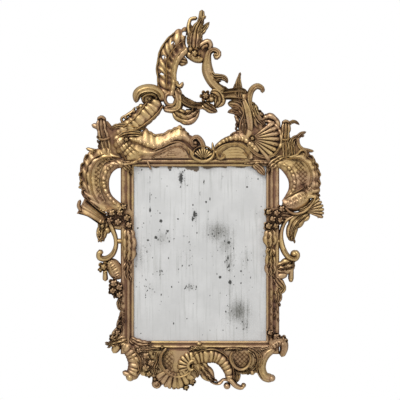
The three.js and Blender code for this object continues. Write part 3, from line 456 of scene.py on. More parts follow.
def fan(hinge, radii, angles, rises, ribs):
    """A shell that opens from a hinge between two angles, in degrees counterclockwise from the right.
    Its ribs swell from the hinge to the rim, where each ends in a rounded lobe."""
    a = np.radians(np.linspace(*angles, (PER_RIB + 1) * ribs + 1))
    A, R = np.meshgrid(a, np.linspace(0, 1, 9), indexing="ij")
    cut = swell((A - a[0]) / (a[-1] - a[0]) * ribs) ** 0.5
    reach = radii[0] + (radii[1] - radii[0]) * R * (1 - 0.12 * (1 - cut) * R)
    height = rises[0] + (rises[1] - rises[0]) * np.sin(R * np.pi / 2) - BACK
    level = height * (1 - 0.2 * (1 - cut) * np.clip(2.5 * R, 0.2, 1)) * (1 - 0.25 * R**8)
    front = placed(hinge[0] + np.cos(A) * reach, hinge[1] + np.sin(A) * reach, BACK + level)
    # Painted light in the gold share: a painted highlight on the ribs and towards the rim, painted shade in
    # the grooves and along the rim's edge.
    gold_and_painted_light = (0.4 + 0.6 * cut) * (0.6 + 0.4 * R) * np.clip((1.06 - R) * 8, 0, 1)
    return closed_shell(front, gold_and_painted_light, BACK)


# The right shoulder: a smooth C-scroll with a flame leaf, a ribbed shell under it, and the stems
# that step down to the right wing.
right_shoulder = {
    "body": web([
        guide([[50, 68], [49.5, 60], [51, 52], [56, 45], [62, 38], [66, 30]], 40),
        guide([[47, 66], [46, 57], [47.5, 48], [51.5, 40], [54, 31], [54, 22]], 36),
        guide([[43, 65], [43, 56], [46, 48], [48, 40], [49, 30], [48, 21]], 44),
        guide([[41, 65], [41.5, 56], [43.8, 48], [44.5, 40], [44.5, 30], [43, 21]], 36),
        guide([[37, 64], [40.3, 55], [41.8, 46], [40, 38], [38.5, 28], [37, 21]], [46, 40]),
    ], 5),
    "arm": band(
        [[19, 64], [29, 65.3], [37, 65.3], [48, 64]], [4.2, 5.2, 6.4, 6], [42, 44, 46, 44], scoop),
    "flame": band(
        [[39.5, 63], [38.3, 72], [38.4, 79], [40.2, 87.5]], [8.5, 5, 2.6, 1.2], [42, 40, 36, 32], leaf),
    "c_scroll": band(
        [[62.3, 66.8], [62, 71], [57, 73.6], [51.8, 70], [49.4, 63], [50, 55], [53.5, 47.5], [59, 41.5],
         [65, 35]],
        [2, 2.8, 3.2, 3.2, 2.8, 2.5, 2.4, 2.4, 1.8], [52, 54, 54, 50, 48, 46, 46, 46, 42], fluted),
    "inner_leaf": band(
        [[45, 43], [42, 50], [36.5, 55], [27.6, 56.6]], [3, 5.6, 5.6, 3], [44, 46, 42, 36], leaf),
    "inner_leaf_low": band(
        [[44, 41], [38, 47], [33, 48.7], [27.4, 47.6]], [3, 3.6, 3.2, 1.6], [42, 40, 36, 32], leaf),
    "inner_edge": band([[35, 45], [38, 38.5], [41.5, 31]], [1.6, 2.4, 2.4], [34, 36, 34], scallops=3),
    "outer_leaf": band(
        [[51, 58], [54.6, 53], [57.4, 47.5], [64, 43.8]], [1.6, 3, 3.2, 2.6], [34, 36, 36, 36],
        scallops=3),
    "outer_lobes": band(
        [[62, 41], [70, 43.5], [76, 39], [79, 32]], [2.6, 3.6, 3.2, 2.2], [40, 44, 44, 42], scallops=3),
    "shell": fan([51, 21], [4, 28], [-56, 42], [46, 52], 8),
    "shell_rim": band(
        [[62, 39], [70, 37.5], [77, 32.5], [80.5, 24], [80, 14], [74, 7]], [2.4, 2.6, 2.6, 2.6, 2.6, 2],
        [40, 43, 45, 45, 43, 40], scallops=7),
    "shell_scroll": band(
        [[47, 18], [50, 11], [57, 5], [66, 2.8], [74, 5.5], [79.5, 13]], [1.8, 2.2, 2.4, 2.4, 2, 1.4],
        [44, 46, 48, 48, 48, 50], fluted),
    "post": band(
        [[86, 0], [85.4, 12], [84.6, 22], [85.3, 31], [85.3, 39]], [5, 4.8, 4.6, 5.4, 4.2],
        [40, 42, 44, 46, 42], leaf),
    "post_branch": band(
        [[85, 33], [91, 37.5], [95, 38], [99.3, 35]], [2.6, 2.2, 1.8, 0.7], [42, 38, 36, 34], leaf),
    "stem": band(
        [[92, 2], [91, 13], [92.4, 19.8], [97, 22.4], [101.6, 26.2], [106, 28]],
        [4, 4.2, 4, 3.2, 2.6, 1.2], [40, 42, 42, 40, 36, 32], leaf),
    "stem_roll": band(
        [[97, 23], [98, 15], [102, 10.5], [108, 9.3], [113.6, 8.6]], [2, 2.2, 2.4, 2.2, 1.1],
        [44, 44, 42, 40, 36], fluted),
    "bed": ground(
        [[44, 16], [62, 36], [80, 33], [88, 24], [97, 16], [104, 8], [102, -3], [44, -4]], 31),
}


def joined(pieces, step=0.05):
    """Several pieces as one, with their faces renumbered. Their backs lie in steps, so many
    millimetres apart, so that no two backs fall in one plane."""
    verts, faces, gold_and_shade = [], [], []
    start = 0
    for number, (points, sides, gold_and_painted_light) in enumerate(pieces):
        flat_back = points[:, 1] > points[:, 1].max() - 0.01 * MM
        points[flat_back, 1] -= number % 16 * step * MM
        verts.append(points)
        faces += [[k + start for k in side] for side in sides]
        gold_and_shade.append(gold_and_painted_light)
        start += len(points)
    return np.vstack(verts), faces, np.concatenate(gold_and_shade)


def flowers(places, rise=48):
    """Small open flowers, each [across, up, radius]: a cupped round of petals with a smaller round
    standing in it, every flower turned a little from the last."""
    parts = []
    for n, (x, z, radius) in enumerate(places):
        heart = [x + 0.12 * radius, z + 0.1 * radius]
        parts.append(boss([x, z], 1.08 * radius, rise - 3, petals=5, turn=1.3 * n, rings=6))
        parts.append(boss(heart, 0.62 * radius, rise + 2, petals=4, turn=0.7 + 1.9 * n, rings=5))
    return joined(parts)


# The right wing: a tall ear with a beaded inner roll, a trellis panel and a lobed outer edge,
# ending below in a shell, a hanging leaf and a thin stem.
right_wing = {
    "ear": web([
        guide(
            [[96, 8], [105, 9.4], [113, 2.8], [118.2, -6.5], [120, -16.8], [120, -27], [118.5, -38]],
            32, bite=0.3),
        guide(
            [[94, 5.5], [103, 5.5], [110.5, -0.5], [115, -8.5], [116.6, -17], [116.4, -27], [115, -38]],
            42, groove=0.2),
        guide(
            [[88, 3], [98, 2], [105.5, -3], [109.8, -11], [110.6, -20], [109.5, -28], [108, -38]],
            [48, 46]),
        guide([[86, 1.5], [94, -0.5], [100, -6.5], [103, -14], [103, -23], [101, -31], [97, -40]], 36),
        guide(
            [[77, -3], [85.5, -5.8], [91, -13], [93.6, -21.5], [93, -30], [89.5, -36.5], [86, -44]], 46,
            groove=0.1),
        guide(
            [[76, -7], [80.3, -9.3], [84.8, -14.5], [88.2, -21], [88.4, -28.5], [85.4, -35],
             [81.5, -41]],
            34),
    ], 7.5),
    "knot": boss([109, -29], 6, 50, petals=5),
    "basket": band(
        [[82, -46], [92, -42.8], [100, -38.6], [109.5, -33]], [5, 9.4, 10, 7], [42, 50, 52, 46],
        fluted),
    "basket_arc": band(
        [[84, -47], [90, -52.5], [97, -53.8], [105, -50.5], [112, -43], [116, -35]],
        [1.6, 1.7, 1.8, 1.8, 1.6, 1.4], [50, 52, 52, 52, 50, 46]),
    "shell_end": fan([103, -51], [4, 20.5], [-23, 44], [40, 46], 6),
    "hanging_leaf": band(
        [[109, -52.4], [99.4, -58.5], [93.4, -65], [91, -73], [91.6, -81.3]], [5.6, 6.8, 7.2, 5.4, 4.4],
        [42, 44, 44, 42, 36], leaf),
    "stem": band(
        [[94, -55.5], [86, -60.5], [81.7, -69], [80.8, -80], [83.4, -90], [88.4, -97], [94.6, -98.8],
         [97.2, -94.5], [94, -90.5]],
        [1.6, 1.9, 2.1, 2.3, 2.9, 3, 2.9, 2.8, 2.6], [44, 40, 36, 36, 38, 42, 48, 50, 50]),
    "stem_ball": boss([94.2, -94], 4.2, 48),
    "stem_tie": band([[74, -81], [81, -81]], [2.8, 2.4], 32),
    "cluster": band([[75, -108], [84, -106.5], [94.6, -104]], [5.4, 8.2, 7.8], [40, 46, 42], leaf),
    "cluster_bead": band([[91, -107], [90.6, -121]], [2.6, 2.9], [40, 38]),
    "leaf_upper": band(
        [[74, -116], [79, -123], [82.5, -128], [77, -134]], [3.5, 5.2, 3.8, 2.6], [38, 42, 40, 36],
        leaf),
    "leaf_middle": band([[76, -129], [78.5, -136], [75, -145]], [3.6, 4, 1.6], [36, 40, 34], leaf),
    "leaf_lower": band([[75, -146], [76.8, -154], [76, -161]], [1.4, 2.6, 1.2], [32, 34, 30], leaf),
    "flowers": flowers(
        [[68, -52, 4.5], [72, -59, 4.5], [68, -66, 5], [76, -53, 4.6], [79.5, -60, 4.4], [81, -49, 4.8],
         [75, -66, 4.2]]),
    "rail_leaf_upper": band(
        [[70, -68], [70, -79], [70, -88]], [6.6, 7.6, 6.4], [40, 44, 42], leaf, back=OVER_GLASS),
    "rail_leaf_middle": band(
        [[70.5, -87], [70.5, -98], [70.5, -108], [71, -117]], [6.2, 5.4, 6.6, 4.4], [42, 42, 42, 38],
        leaf),
    "corner_flowers": flowers([[75.5, -176, 5], [69.5, -172, 4], [82.5, -179.6, 5]]),
    "basket_leaf": band([[78, -54.5], [86, -55.5], [94, -56]], [5, 5, 3], [40, 42, 38], leaf),
    "cluster_curl": band([[76, -117], [81, -115.5], [87.4, -114]], [4, 3.8, 2.6], [38, 38, 36]),
}

# The left wing: the same ear turned over, wider in its ribbed scoop and with a flared lower end.
left_wing = {
    "ear": web([
        guide(
            [[-77, -8], [-82.6, -8.8], [-87.6, -13], [-90.4, -20], [-90.4, -28], [-88, -35],
             [-82, -40.8], [-76, -45]],
            36),
        guide(
            [[-76, -4], [-85, -4], [-92, -9.5], [-95.6, -17.8], [-95, -27.2], [-91, -36], [-85, -42.6],
             [-79, -49]],
            48, groove=0.1),
        guide(
            [[-78, 0.5], [-87, 0.5], [-97, -5.5], [-101, -15.5], [-100.5, -28], [-96, -38.5],
             [-91, -46], [-86, -53]],
            36),
        guide(
            [[-80, 3], [-92, 3], [-103, -2], [-108.5, -12], [-108.3, -24], [-106, -34], [-102, -42],
             [-96, -51]],
            [48, 46]),
        guide(
            [[-84, 5], [-98, 5], [-109, -1], [-113.8, -12], [-113.8, -24], [-113, -34], [-110, -40],
             [-105, -46]],
            [44, 42], groove=0.2),
        guide(
            [[-88, 8], [-104, 11.5], [-113.5, 5], [-118.3, -4], [-120.4, -13], [-119.8, -22],
             [-118.8, -30], [-117, -39]],
            32, bite=0.3),
    ], 8),
    "tip_side": band([[-115, -26], [-121.4, -27.6]], [2, 1.6], [36, 32]),
    "flare": band(
        [[-93, -63], [-101, -56.4], [-109, -50.6], [-118.5, -45.6]], [5.4, 6, 6.6, 8.8],
        [40, 44, 46, 40], scoop, round_ends=False),
    "flowers": flowers(
        [[-88, -53, 5], [-80, -53, 5], [-73, -58, 5], [-82, -62, 5], [-90, -60, 4.6], [-76, -47, 4.4],
         [-71, -65, 4.8]]),
    "drop": band([[-95, -58], [-97.2, -68], [-99, -81.6]], [6, 5.8, 4.6], [40, 42, 38], leaf),
    "stem": band(
        [[-91, -60], [-87.4, -69], [-84.2, -78], [-84.1, -87], [-87.6, -94.5], [-94, -98.6],
         [-100, -97.4], [-100, -92.4], [-96.5, -92.6]],
        [2.4, 2.7, 2.4, 2.2, 2.4, 2.8, 3, 3, 3], [40, 38, 38, 38, 40, 44, 48, 50, 52]),
    "stem_tie": band([[-85, -81], [-76, -81]], [2.4, 2.8], 32),
    "rib_leaf": band([[-91, -99], [-85.4, -108], [-80, -119]], [5.4, 7.6, 6.4], [40, 46, 40], fluted),
    "lump": boss([-95.8, -106.6], 6.2, 44, petals=5),
    "drop_bud": band([[-94.8, -109], [-94.4, -121]], [2, 3], 36),
    "cluster": flowers([[-86, -123, 5.4], [-80.5, -127, 5], [-87, -130.4, 4.6], [-80.5, -134.5, 4.6]]),
    "bud": band([[-78.6, -136], [-80.2, -145], [-76.5, -151]], [2.8, 3.4, 2], [34, 38, 32], leaf),
    "trail": band(
        [[-77, -149], [-78.5, -161], [-81, -171], [-86.8, -179.4]], [2.2, 4, 5, 6.4], [30, 34, 38, 40],
        leaf),
    "rail_leaf_upper": band(
        [[-71.5, -68], [-70.5, -80], [-70.5, -92], [-72, -103]], [6.2, 7.2, 7.2, 5.6], [40, 44, 44, 38],
        leaf, back=OVER_GLASS),
    "rail_leaf_lower": band(
        [[-72, -101], [-72, -112], [-70.5, -122]], [5.4, 5.2, 3.4], [40, 40, 36], leaf),
    "tip_top": band([[-103, 7.5], [-109, 10], [-113.8, 11.6]], [3, 2.2, 1.4], [36, 36, 32]),
    "drop_knob": boss([-92.6, -70], 4, 40),
    "stem_link": band([[-87, -66.4], [-77, -67.6]], [2.6, 2.8], 34),
}

# The apron: a ribbed arch under the bottom rail, a ringed cartouche over a shell, and a leg
# scroll at each lower corner.
apron = {
    "bed_left": ground(
        [[-74, -190], [2, -190], [6, -200], [1, -212], [-4, -217], [-18, -219], [-40, -217],
         [-58, -214.5], [-66, -206], [-68, -196]],
        36, gold_and_painted_light=1.0),
    "bed_right": ground(
        [[0, -190], [68, -190], [62, -198], [60, -212], [50, -212], [38, -208], [28, -200], [16, -190],
         [2, -196]],
        36, gold_and_painted_light=1.0),
    "left_corner_leaf": band(
        [[-72, -178], [-84, -182], [-94.5, -184]], [6, 5.2, 1], [42, 42, 36], leaf),
    "left_corner_bud": band([[-81, -183], [-86.6, -192.6]], [5.4, 3.4], [38, 36]),
    "left_leg": band(
        [[-77, -183], [-69, -190.5], [-64.6, -200], [-65.4, -209], [-69.8, -219]],
        [4.8, 7.2, 7.8, 7, 6.2], [44, 46, 48, 48, 48], ribs=9),
    "left_leg_tip": band([[-68, -215], [-77.4, -211.4]], [4, 2.2], [46, 38]),
    "left_flowers": flowers(
        [[-54, -195, 5.2], [-49, -202, 5.2], [-54.5, -207, 5.4], [-51, -213, 4], [-61, -190, 4.4]]),
    "ring": band(
        [[-33, -187], [-38, -193], [-38.7, -202], [-34, -210], [-26, -215], [-17, -215], [-9.5, -210],
         [-7, -202]],
        [1.6, 1.8, 1.9, 1.9, 1.9, 1.9, 1.9, 1.6], [50, 52, 52, 52, 52, 52, 52, 48]),
    "shell": fan([-25, -206], [9, 22.5], [213, 322], [44, 42], 9),
    "shell_curl": boss([-43.2, -223.2], 5.2, 42),
    "shell_knobs": flowers([[-14, -226.5, 3.2], [-8, -221, 4]]),
    "arch": band(
        [[-11, -203], [-4, -197], [5, -195], [14, -195], [21.6, -199], [27, -206.5], [29.5, -214],
         [29, -222]],
        [5, 8, 8.4, 7.8, 6.8, 6, 5, 3.8], [48, 52, 52, 52, 50, 48, 46, 42], ribs=14),
    "arch_foot": band(
        [[29, -217], [35, -224.5], [41.5, -227], [44, -223]], [3.4, 2.8, 2.4, 1.4], [44, 46, 48, 48]),
    "arch_knob": boss([27, -225.4], 3.6, 40),
    "inner_leaf": band(
        [[-2, -201], [4, -209], [9.6, -216], [14, -221]], [5.4, 7, 6.6, 3.2], [42, 44, 42, 38], leaf),
    "inner_twig": band(
        [[10, -220], [15, -223], [20, -222.3], [23.5, -219], [29, -220]], [1.8, 1.3, 2, 1.4, 1.6],
        [36, 34, 34, 34, 36]),
    "right_ring": band(
        [[30.5, -194], [34, -204], [40, -208.5], [47, -206], [50.5, -198]], [1.5, 1.7, 1.8, 1.7, 1.5],
        [46, 48, 48, 48, 46]),
    "right_leaf": band(
        [[47, -187], [55.5, -192], [57.5, -201], [53, -208.5], [46, -211], [40, -212.5]],
        [3, 4.4, 4.6, 3.6, 2.8, 2], [42, 46, 46, 44, 42, 42], leaf),
    "right_knob": boss([52, -211.5], 3.2, 44),
    "right_leg": band(
        [[75, -187], [66.4, -191.5], [61.6, -200], [61, -209], [65, -216.4], [73, -217.8]],
        [4.6, 5.8, 5.4, 5, 4.6, 4.6], [44, 46, 46, 46, 48, 50], fluted),
    "right_hood": band(
        [[69, -186], [77, -181.2], [82.4, -181.8], [83.8, -188], [81.2, -196.4]], [4.6, 6, 5, 4, 3],
        [44, 50, 50, 46, 38], fluted),
    "arch_leaf": band([[33, -206], [36.6, -213], [36.5, -222]], [4, 4, 2.4], [38, 40, 38], leaf),
}

# Leaves that lap from the carving over the corners of the rails.
corner_leaves = {
    "top_left": band(
        [[-80, -1], [-73, -7], [-67.5, -12]], [3, 4.2, 1.6], [42, 42, 36], leaf, back=OVER_GLASS),
    "top_left_hook": band(
        [[-53, 1], [-51, -5], [-48.5, -10]], [1.8, 1.4, 0.6], [38, 32, 26], back=OVER_GLASS),
    "top_right": band(
        [[84, 3], [75, -2.5], [67.5, -9]], [4, 5.2, 3.6], [44, 44, 38], leaf, back=OVER_GLASS),
    "top_right_low": band(
        [[53, -4], [60, -9.5], [64.5, -15.5]], [2.6, 4, 1.8], [38, 38, 32], leaf, back=OVER_GLASS),
    "bottom_left": band(
        [[-70, -178], [-60, -183.5], [-48, -183.5]], [3.4, 5, 2.2], [38, 42, 36], leaf,
        back=OVER_GLASS),
    "bottom_middle": boss([-1, -183.5], 3, 38),
}


def beads(path, count, radius, rise):
    """A row of small beads along the smooth curve through path."""
    middles = along(path, np.linspace(0, 1, count))[0]
    return joined([boss(middle, radius, rise, rings=5) for middle in middles])


def sprays(path, count, length, half, rise, spread_by=50, sides=(1, -1)):
    """Small leaves that spring from both sides of the smooth curve through path, in turn, and lean
    forwards; the angle between a leaf and the path is in degrees."""
    t = np.linspace(0.04, 0.94, count)
    stalks = along(path, t)[0]
    ahead = along(path, t + 0.04)[0] - stalks
    leaves = []
    for n, (foot, way) in enumerate(zip(stalks, np.arctan2(ahead[:, 1], ahead[:, 0]))):
        lean = np.radians(spread_by) * sides[n % len(sides)]
        reach = 0.55 * length * (0.75 + 0.5 * abs(np.sin(2.3 * n)))
        mid = foot + reach * np.array([np.cos(way + lean), np.sin(way + lean)])
        tip = mid + reach * np.array([np.cos(way + 0.3 * lean), np.sin(way + 0.3 * lean)])
        halves, rises = [half * 0.7, half, half * 0.35], [rise - 3, rise, rise - 5]
        leaves.append(band([foot, mid, tip], halves, rises, leaf))
    return joined(leaves)


# The small carving laid over the large forms. On the crest: the rolled lips of the shell band, the
# plume's inner leaves, the eyes of the scrolls, and leaf tips on the stem, the knot and the foot.
crest_small = {
    "inner_roll": band(
        [[-13, 112], [-20, 106], [-25, 97.5], [-26.8, 86], [-25.3, 78.5], [-21, 74.6]],
        [1.5, 1.7, 1.8, 1.8, 1.7, 1.4], [55, 57, 57, 56, 56, 54]),
    "lip": band(
        [[-24.5, 127], [-31.5, 121], [-36.8, 114], [-40.4, 106.6], [-41.8, 98], [-43, 91], [-41.8, 82],
         [-41.4, 74], [-38.6, 67]],
        [1.1, 1.3, 1.3, 1.3, 1.3, 1.3, 1.3, 1.3, 1], [42, 44, 44, 44, 44, 44, 44, 44, 42], scallops=8),
    "lip_groove": band(
        [[-14.5, 119.5], [-24, 112], [-30.5, 103], [-33.6, 91], [-33, 80], [-33.6, 70]],
        [0.8, 0.9, 0.9, 0.9, 0.9, 0.8], [49, 50, 50, 50, 49, 48]),
    "eye": boss([-9.5, 109.6], 2.7, 60, rings=6),
    "eye_low": boss([-1.2, 101.2], 2.4, 54, rings=6),
    "plume_side": band(
        [[-10, 112], [-11, 121], [-8.6, 129], [-9.6, 136]], [2, 2.6, 2, 0.8], [50, 50, 48, 42], leaf),
    "plume_heart": band(
        [[-2, 110], [0.4, 120], [0.4, 130], [4, 139]], [1.6, 2.4, 2, 0.8], [52, 52, 50, 44], leaf),
    "plume_top": band([[1.5, 139], [1, 145], [1.8, 149.2]], [1.4, 1.8, 1.6], [46, 44, 42]),
    "curl_inner": band([[1.5, 109], [4.5, 112.6], [8, 112]], [1.6, 1.8, 1.2], [58, 60, 60]),
    "curl_ball": boss([6.5, 113], 2.3, 60, rings=6),
    "volute_eye": boss([15, 104.3], 2.2, 61.4, rings=6),
    "stem_tips": sprays([[16, 76], [20, 72], [25, 69]], 4, 4.5, 1.4, 46, sides=(1,)),
    "stem_leaf_low": band([[12, 81], [17, 78.4], [21.6, 78.6]], [1.6, 1.8, 0.8], [50, 50, 46], leaf),
    "knot_heart": boss([5.5, 63.5], 2.2, 60, rings=6),
    "knot_ball": boss([11, 60.5], 3.8, 51, rings=7),
    "knot_sprays": sprays([[1, 61], [6, 56], [13, 52]], 6, 4.2, 1.5, 48),
    "knot_sprays_right": sprays([[12, 63], [17, 62], [20, 58]], 5, 3.6, 1.3, 49),
    "garland_leaf": band(
        [[-17, 63], [-10, 58.5], [-3, 56], [4, 57.5]], [1.2, 2, 1.8, 1], [48, 50, 50, 48], leaf),
    "garland_roll": band(
        [[-22, 62], [-17, 56.5], [-10, 52.5], [-2, 51.6]], [0.9, 1.1, 1.1, 0.8], [50, 50, 48, 46]),
    "foot_sprays": sprays([[-24, 48], [-17, 45], [-10, 45], [-4, 50]], 8, 5, 1.7, 52),
    "foot_edge": band(
        [[-25, 44.6], [-20, 38.8], [-13, 36], [-6, 40.4], [-2.4, 47]], [1.2, 1.6, 1.7, 1.5, 0.9],
        [44, 46, 46, 44, 40], scallops=6),
    "foot_scroll": band(
        [[-34, 52.5], [-28, 53.4], [-24.4, 57], [-24.4, 62]], [1.2, 1.4, 1.4, 1], [50, 54, 56, 54]),
    "bridge": band([[-25, 71], [-21, 67], [-18.5, 62]], [3.2, 3, 2], [48, 50, 46], leaf),
}

# On the left shoulder: lips along the arm, the hood's inner leaves, the veins of the post, and a
# scalloped shell with veins on the plate between them.
left_small = {
    "arm_lip": band(
        [[-78, 31.5], [-66, 40.5], [-57.5, 50.6], [-52, 58]], [1.1, 1.3, 1.3, 1], [44, 48, 50, 50]),
    "arm_lip_low": band(
        [[-79, 26], [-63, 30.4], [-50.5, 38.6], [-41.6, 47], [-36, 55]], [1, 1.2, 1.3, 1.3, 1],
        [42, 44, 48, 50, 50]),
    "arm_knobs": beads([[-74, 42], [-67, 46.5], [-62, 52]], 4, 1.9, 42),
    "hood_eye": band(
        [[-44, 64], [-51, 65], [-56.5, 62], [-56, 57]], [1.6, 1.8, 1.6, 0.8], [56, 58, 56, 52]),
    "hood_bud": boss([-50, 60], 3, 55, petals=4, rings=7),
    "ridge_leaf": band(
        [[-90, 30], [-83, 33.5], [-74, 34], [-63, 32.4], [-54, 30.6]], [2, 3, 3, 2.8, 1.6],
        [36, 42, 44, 44, 40], leaf),
    "edge_leaf": band([[-94, 39], [-90, 33.5], [-86, 29]], [1.5, 2, 1.2], [40, 42, 40], leaf),
    "post_heart": band(
        [[-92, 4], [-94, 14], [-96, 24], [-98.6, 36]], [1.8, 2.2, 2.4, 1.4], [44, 48, 51, 50], leaf),
    "post_collar": band([[-102, 21], [-95.5, 20], [-89, 22]], [1.4, 1.7, 1.4], [48, 52, 50]),
    "post_crown": band([[-102.5, 40], [-98, 42.6], [-93.6, 39.5]], [1.4, 2, 1.4], [46, 49, 46]),
    "post_side": sprays([[-98, 6], [-99, 16], [-100, 22]], 4, 4, 1.3, 42, sides=(1,)),
    "plate_eye": boss([-73, 20], 4.4, 54, petals=6),
    "plate_edge": band(
        [[-99, -3], [-90, -1.6], [-80, -1.2], [-70, -2.4], [-60, -2.2]], [1.5, 2, 2, 2, 1.4],
        [38, 40, 40, 40, 38], scallops=8),
    "roll_tip": sprays([[-11, 20], [-14, 26], [-18.5, 31]], 5, 3.6, 1.2, 45),
    "plate_shell": band(
        [[-85, 24], [-77, 15], [-69, 7], [-60, -2]], [5, 10.5, 11, 8], [48, 50, 47, 41], scallops=6),
    "plate_leaf_top": band(
        [[-84, 20], [-76, 25], [-66, 26.5], [-56, 25]], [2, 4, 4.4, 2], [44, 48, 48, 46], leaf),
    "post_skirt": band([[-94, 14], [-93, 5], [-88, -3]], [5, 7, 7], [42, 45, 42], fluted),
    "skirt_leaf": band(
        [[-99, 3], [-94, 0], [-86, -1.4], [-78, -3]], [2, 3.4, 3.4, 1.6], [42, 46, 46, 42], leaf),
    "plate_rim": band([[-99.5, 8], [-97, 2], [-88, -4.6]], [1, 1.4, 1], [46, 48, 44]),
    "hood_leaf": band(
        [[-39, 61], [-43, 67.4], [-51, 70.6], [-59, 68.4], [-64, 60]], [2, 2.6, 2.8, 2.6, 1],
        [55.2, 61.2, 62.2, 59.2, 47.2], leaf),
    "hood_leaf_low": band(
        [[-42, 60], [-47, 65], [-54, 66], [-60, 62]], [1.4, 2, 2, 0.9], [56, 61, 61, 54], leaf),
    "plate_ruffle": band(
        [[-98, 8], [-91, -0.6], [-80, -4.6], [-68, -3.4], [-57, 2]], [1.6, 2, 2.2, 2, 1.6],
        [42, 45, 46, 46, 44], scallops=7),
    "plate_veins": joined([
        band(
            [[-82 + 3 * k, 21 - 0.6 * k], [-75 + 3.6 * k, 10 + 1.2 * k], [-68 + 4.2 * k, 1 + 2.6 * k]],
            [0.7, 1, 0.7], [50, 51.5, 46])
        for k in range(-1, 3)
    ]),
}

# On the top rail: gadroons along both arches, with rolls, fine lines, sprays and a gilt ground in
# the panels under them, and a fan in the cup.
top_small = {
    "left_gadroons": band(
        [[-69, 21.5], [-60, 18.4], [-50, 14.4], [-42, 13.4], [-33, 17.4], [-25, 21.4], [-16, 23.6],
         [-9, 19.6]],
        [2.6, 3.4, 3.8, 3.8, 3.8, 3.6, 3, 1.8], [50, 52, 52, 52, 52, 52, 50, 46], ribs=15),
    "left_border": band(
        [[-54, 29.4], [-48, 25.6], [-42, 24], [-35, 26], [-27, 29.6], [-20, 32]],
        [1, 1.5, 1.6, 1.6, 1.5, 0.9], [38, 40, 40, 40, 42, 40], scallops=9),
    "left_panel_roll": band(
        [[-50, 6], [-44, 10], [-37, 13], [-28, 17.2], [-19.5, 17.2], [-13, 12.6], [-11, 5]],
        [1, 1.4, 1.5, 1.6, 1.6, 1.4, 1], [44, 48, 49, 49, 49, 48, 46]),
    "left_panel_roll_low": band(
        [[-47, 3], [-40, 6], [-32, 9.4], [-25, 12.4], [-18.5, 11.6], [-15, 6.4]],
        [0.8, 1, 1.1, 1.2, 1.1, 0.8], [40, 42, 43, 43, 43, 42]),
    "left_panel_lines": joined([
        band(
            [[-45 + 4 * k, 1.6 + 0.4 * k], [-30, 2.4 + 2 * k], [-17 - k, 2 + 1.4 * k]], [0.5, 0.6, 0.5],
            [40, 41, 40])
        for k in range(4)
    ]),
    "left_panel_leaf": band([[-49, 1], [-43, 4.6], [-36, 6]], [2, 2.4, 1], [42, 45, 41], leaf),
    "left_panel_sprays": sprays([[-46, 4], [-36, 5], [-24, 6], [-14, 3]], 9, 4, 1.2, 42, 38),
    "right_gadroons": band(
        [[15, 12.6], [24, 18.6], [33, 21.4], [43, 20.6], [51, 15], [56, 8]],
        [1.8, 3, 3.6, 3.8, 3.6, 2.6], [46, 49, 50, 50, 49, 46], ribs=12),
    "right_border": band(
        [[30, 24.6], [36, 27.4], [43, 28], [50.6, 26]], [1, 1.6, 1.7, 1.2], [38, 40, 40, 38],
        scallops=6),
    "right_panel_roll": band(
        [[22, 6.5], [24.6, 3], [20.4, 0.8], [17, 4.6], [18, 10.6], [25, 14.8], [34, 16], [43, 13.8],
         [49, 8], [50.6, 0.6]],
        [0.8, 1.2, 1.4, 1.5, 1.5, 1.5, 1.5, 1.5, 1.4, 1], [50, 50, 50, 50, 49, 49, 49, 49, 48, 44]),
    "right_panel_lines": joined([
        band(
            [[26, 1.6 + 2.6 * k], [36, 2 + 2.7 * k], [46.5 - 1.2 * k, 1.4 + 2.4 * k]], [0.5, 0.6, 0.5],
            [40, 41, 40])
        for k in range(4)
    ]),
    "right_panel_leaf": band([[50, 1], [45.5, 5.4], [41, 8.6]], [1.6, 2.2, 0.9], [44, 46, 42], leaf),
    "cup_fan": fan([3, 0.5], [2, 11.5], [25, 150], [40, 47], 8),
    "cup_rim": band(
        [[-7.6, 5], [-4.6, 11], [1, 13.4], [8, 12.4], [12.6, 8.4]], [0.9, 1.1, 1.2, 1.1, 0.8],
        [48, 49, 49, 48, 46]),
    "volute_heart": boss([-4.6, 16.6], 2.4, 60, rings=6),
    "cup_sprays": sprays([[-3, 1], [3, 3], [9, 2]], 5, 4, 1.2, 46, 60),
    "left_panel_ground": ground(
        [[-46, 1.6], [-40, 7], [-33, 10.4], [-26, 13.2], [-19, 12.8], [-14, 8], [-11, 1.6]], 39.5,
        gold_and_painted_light=0.85),
    "right_panel_ground": ground(
        [[20, 1.6], [23, 8], [30, 12.4], [38, 12.8], [43.6, 9.4], [47, 1.6]], 39.5, gold_and_painted_light=0.85),
}

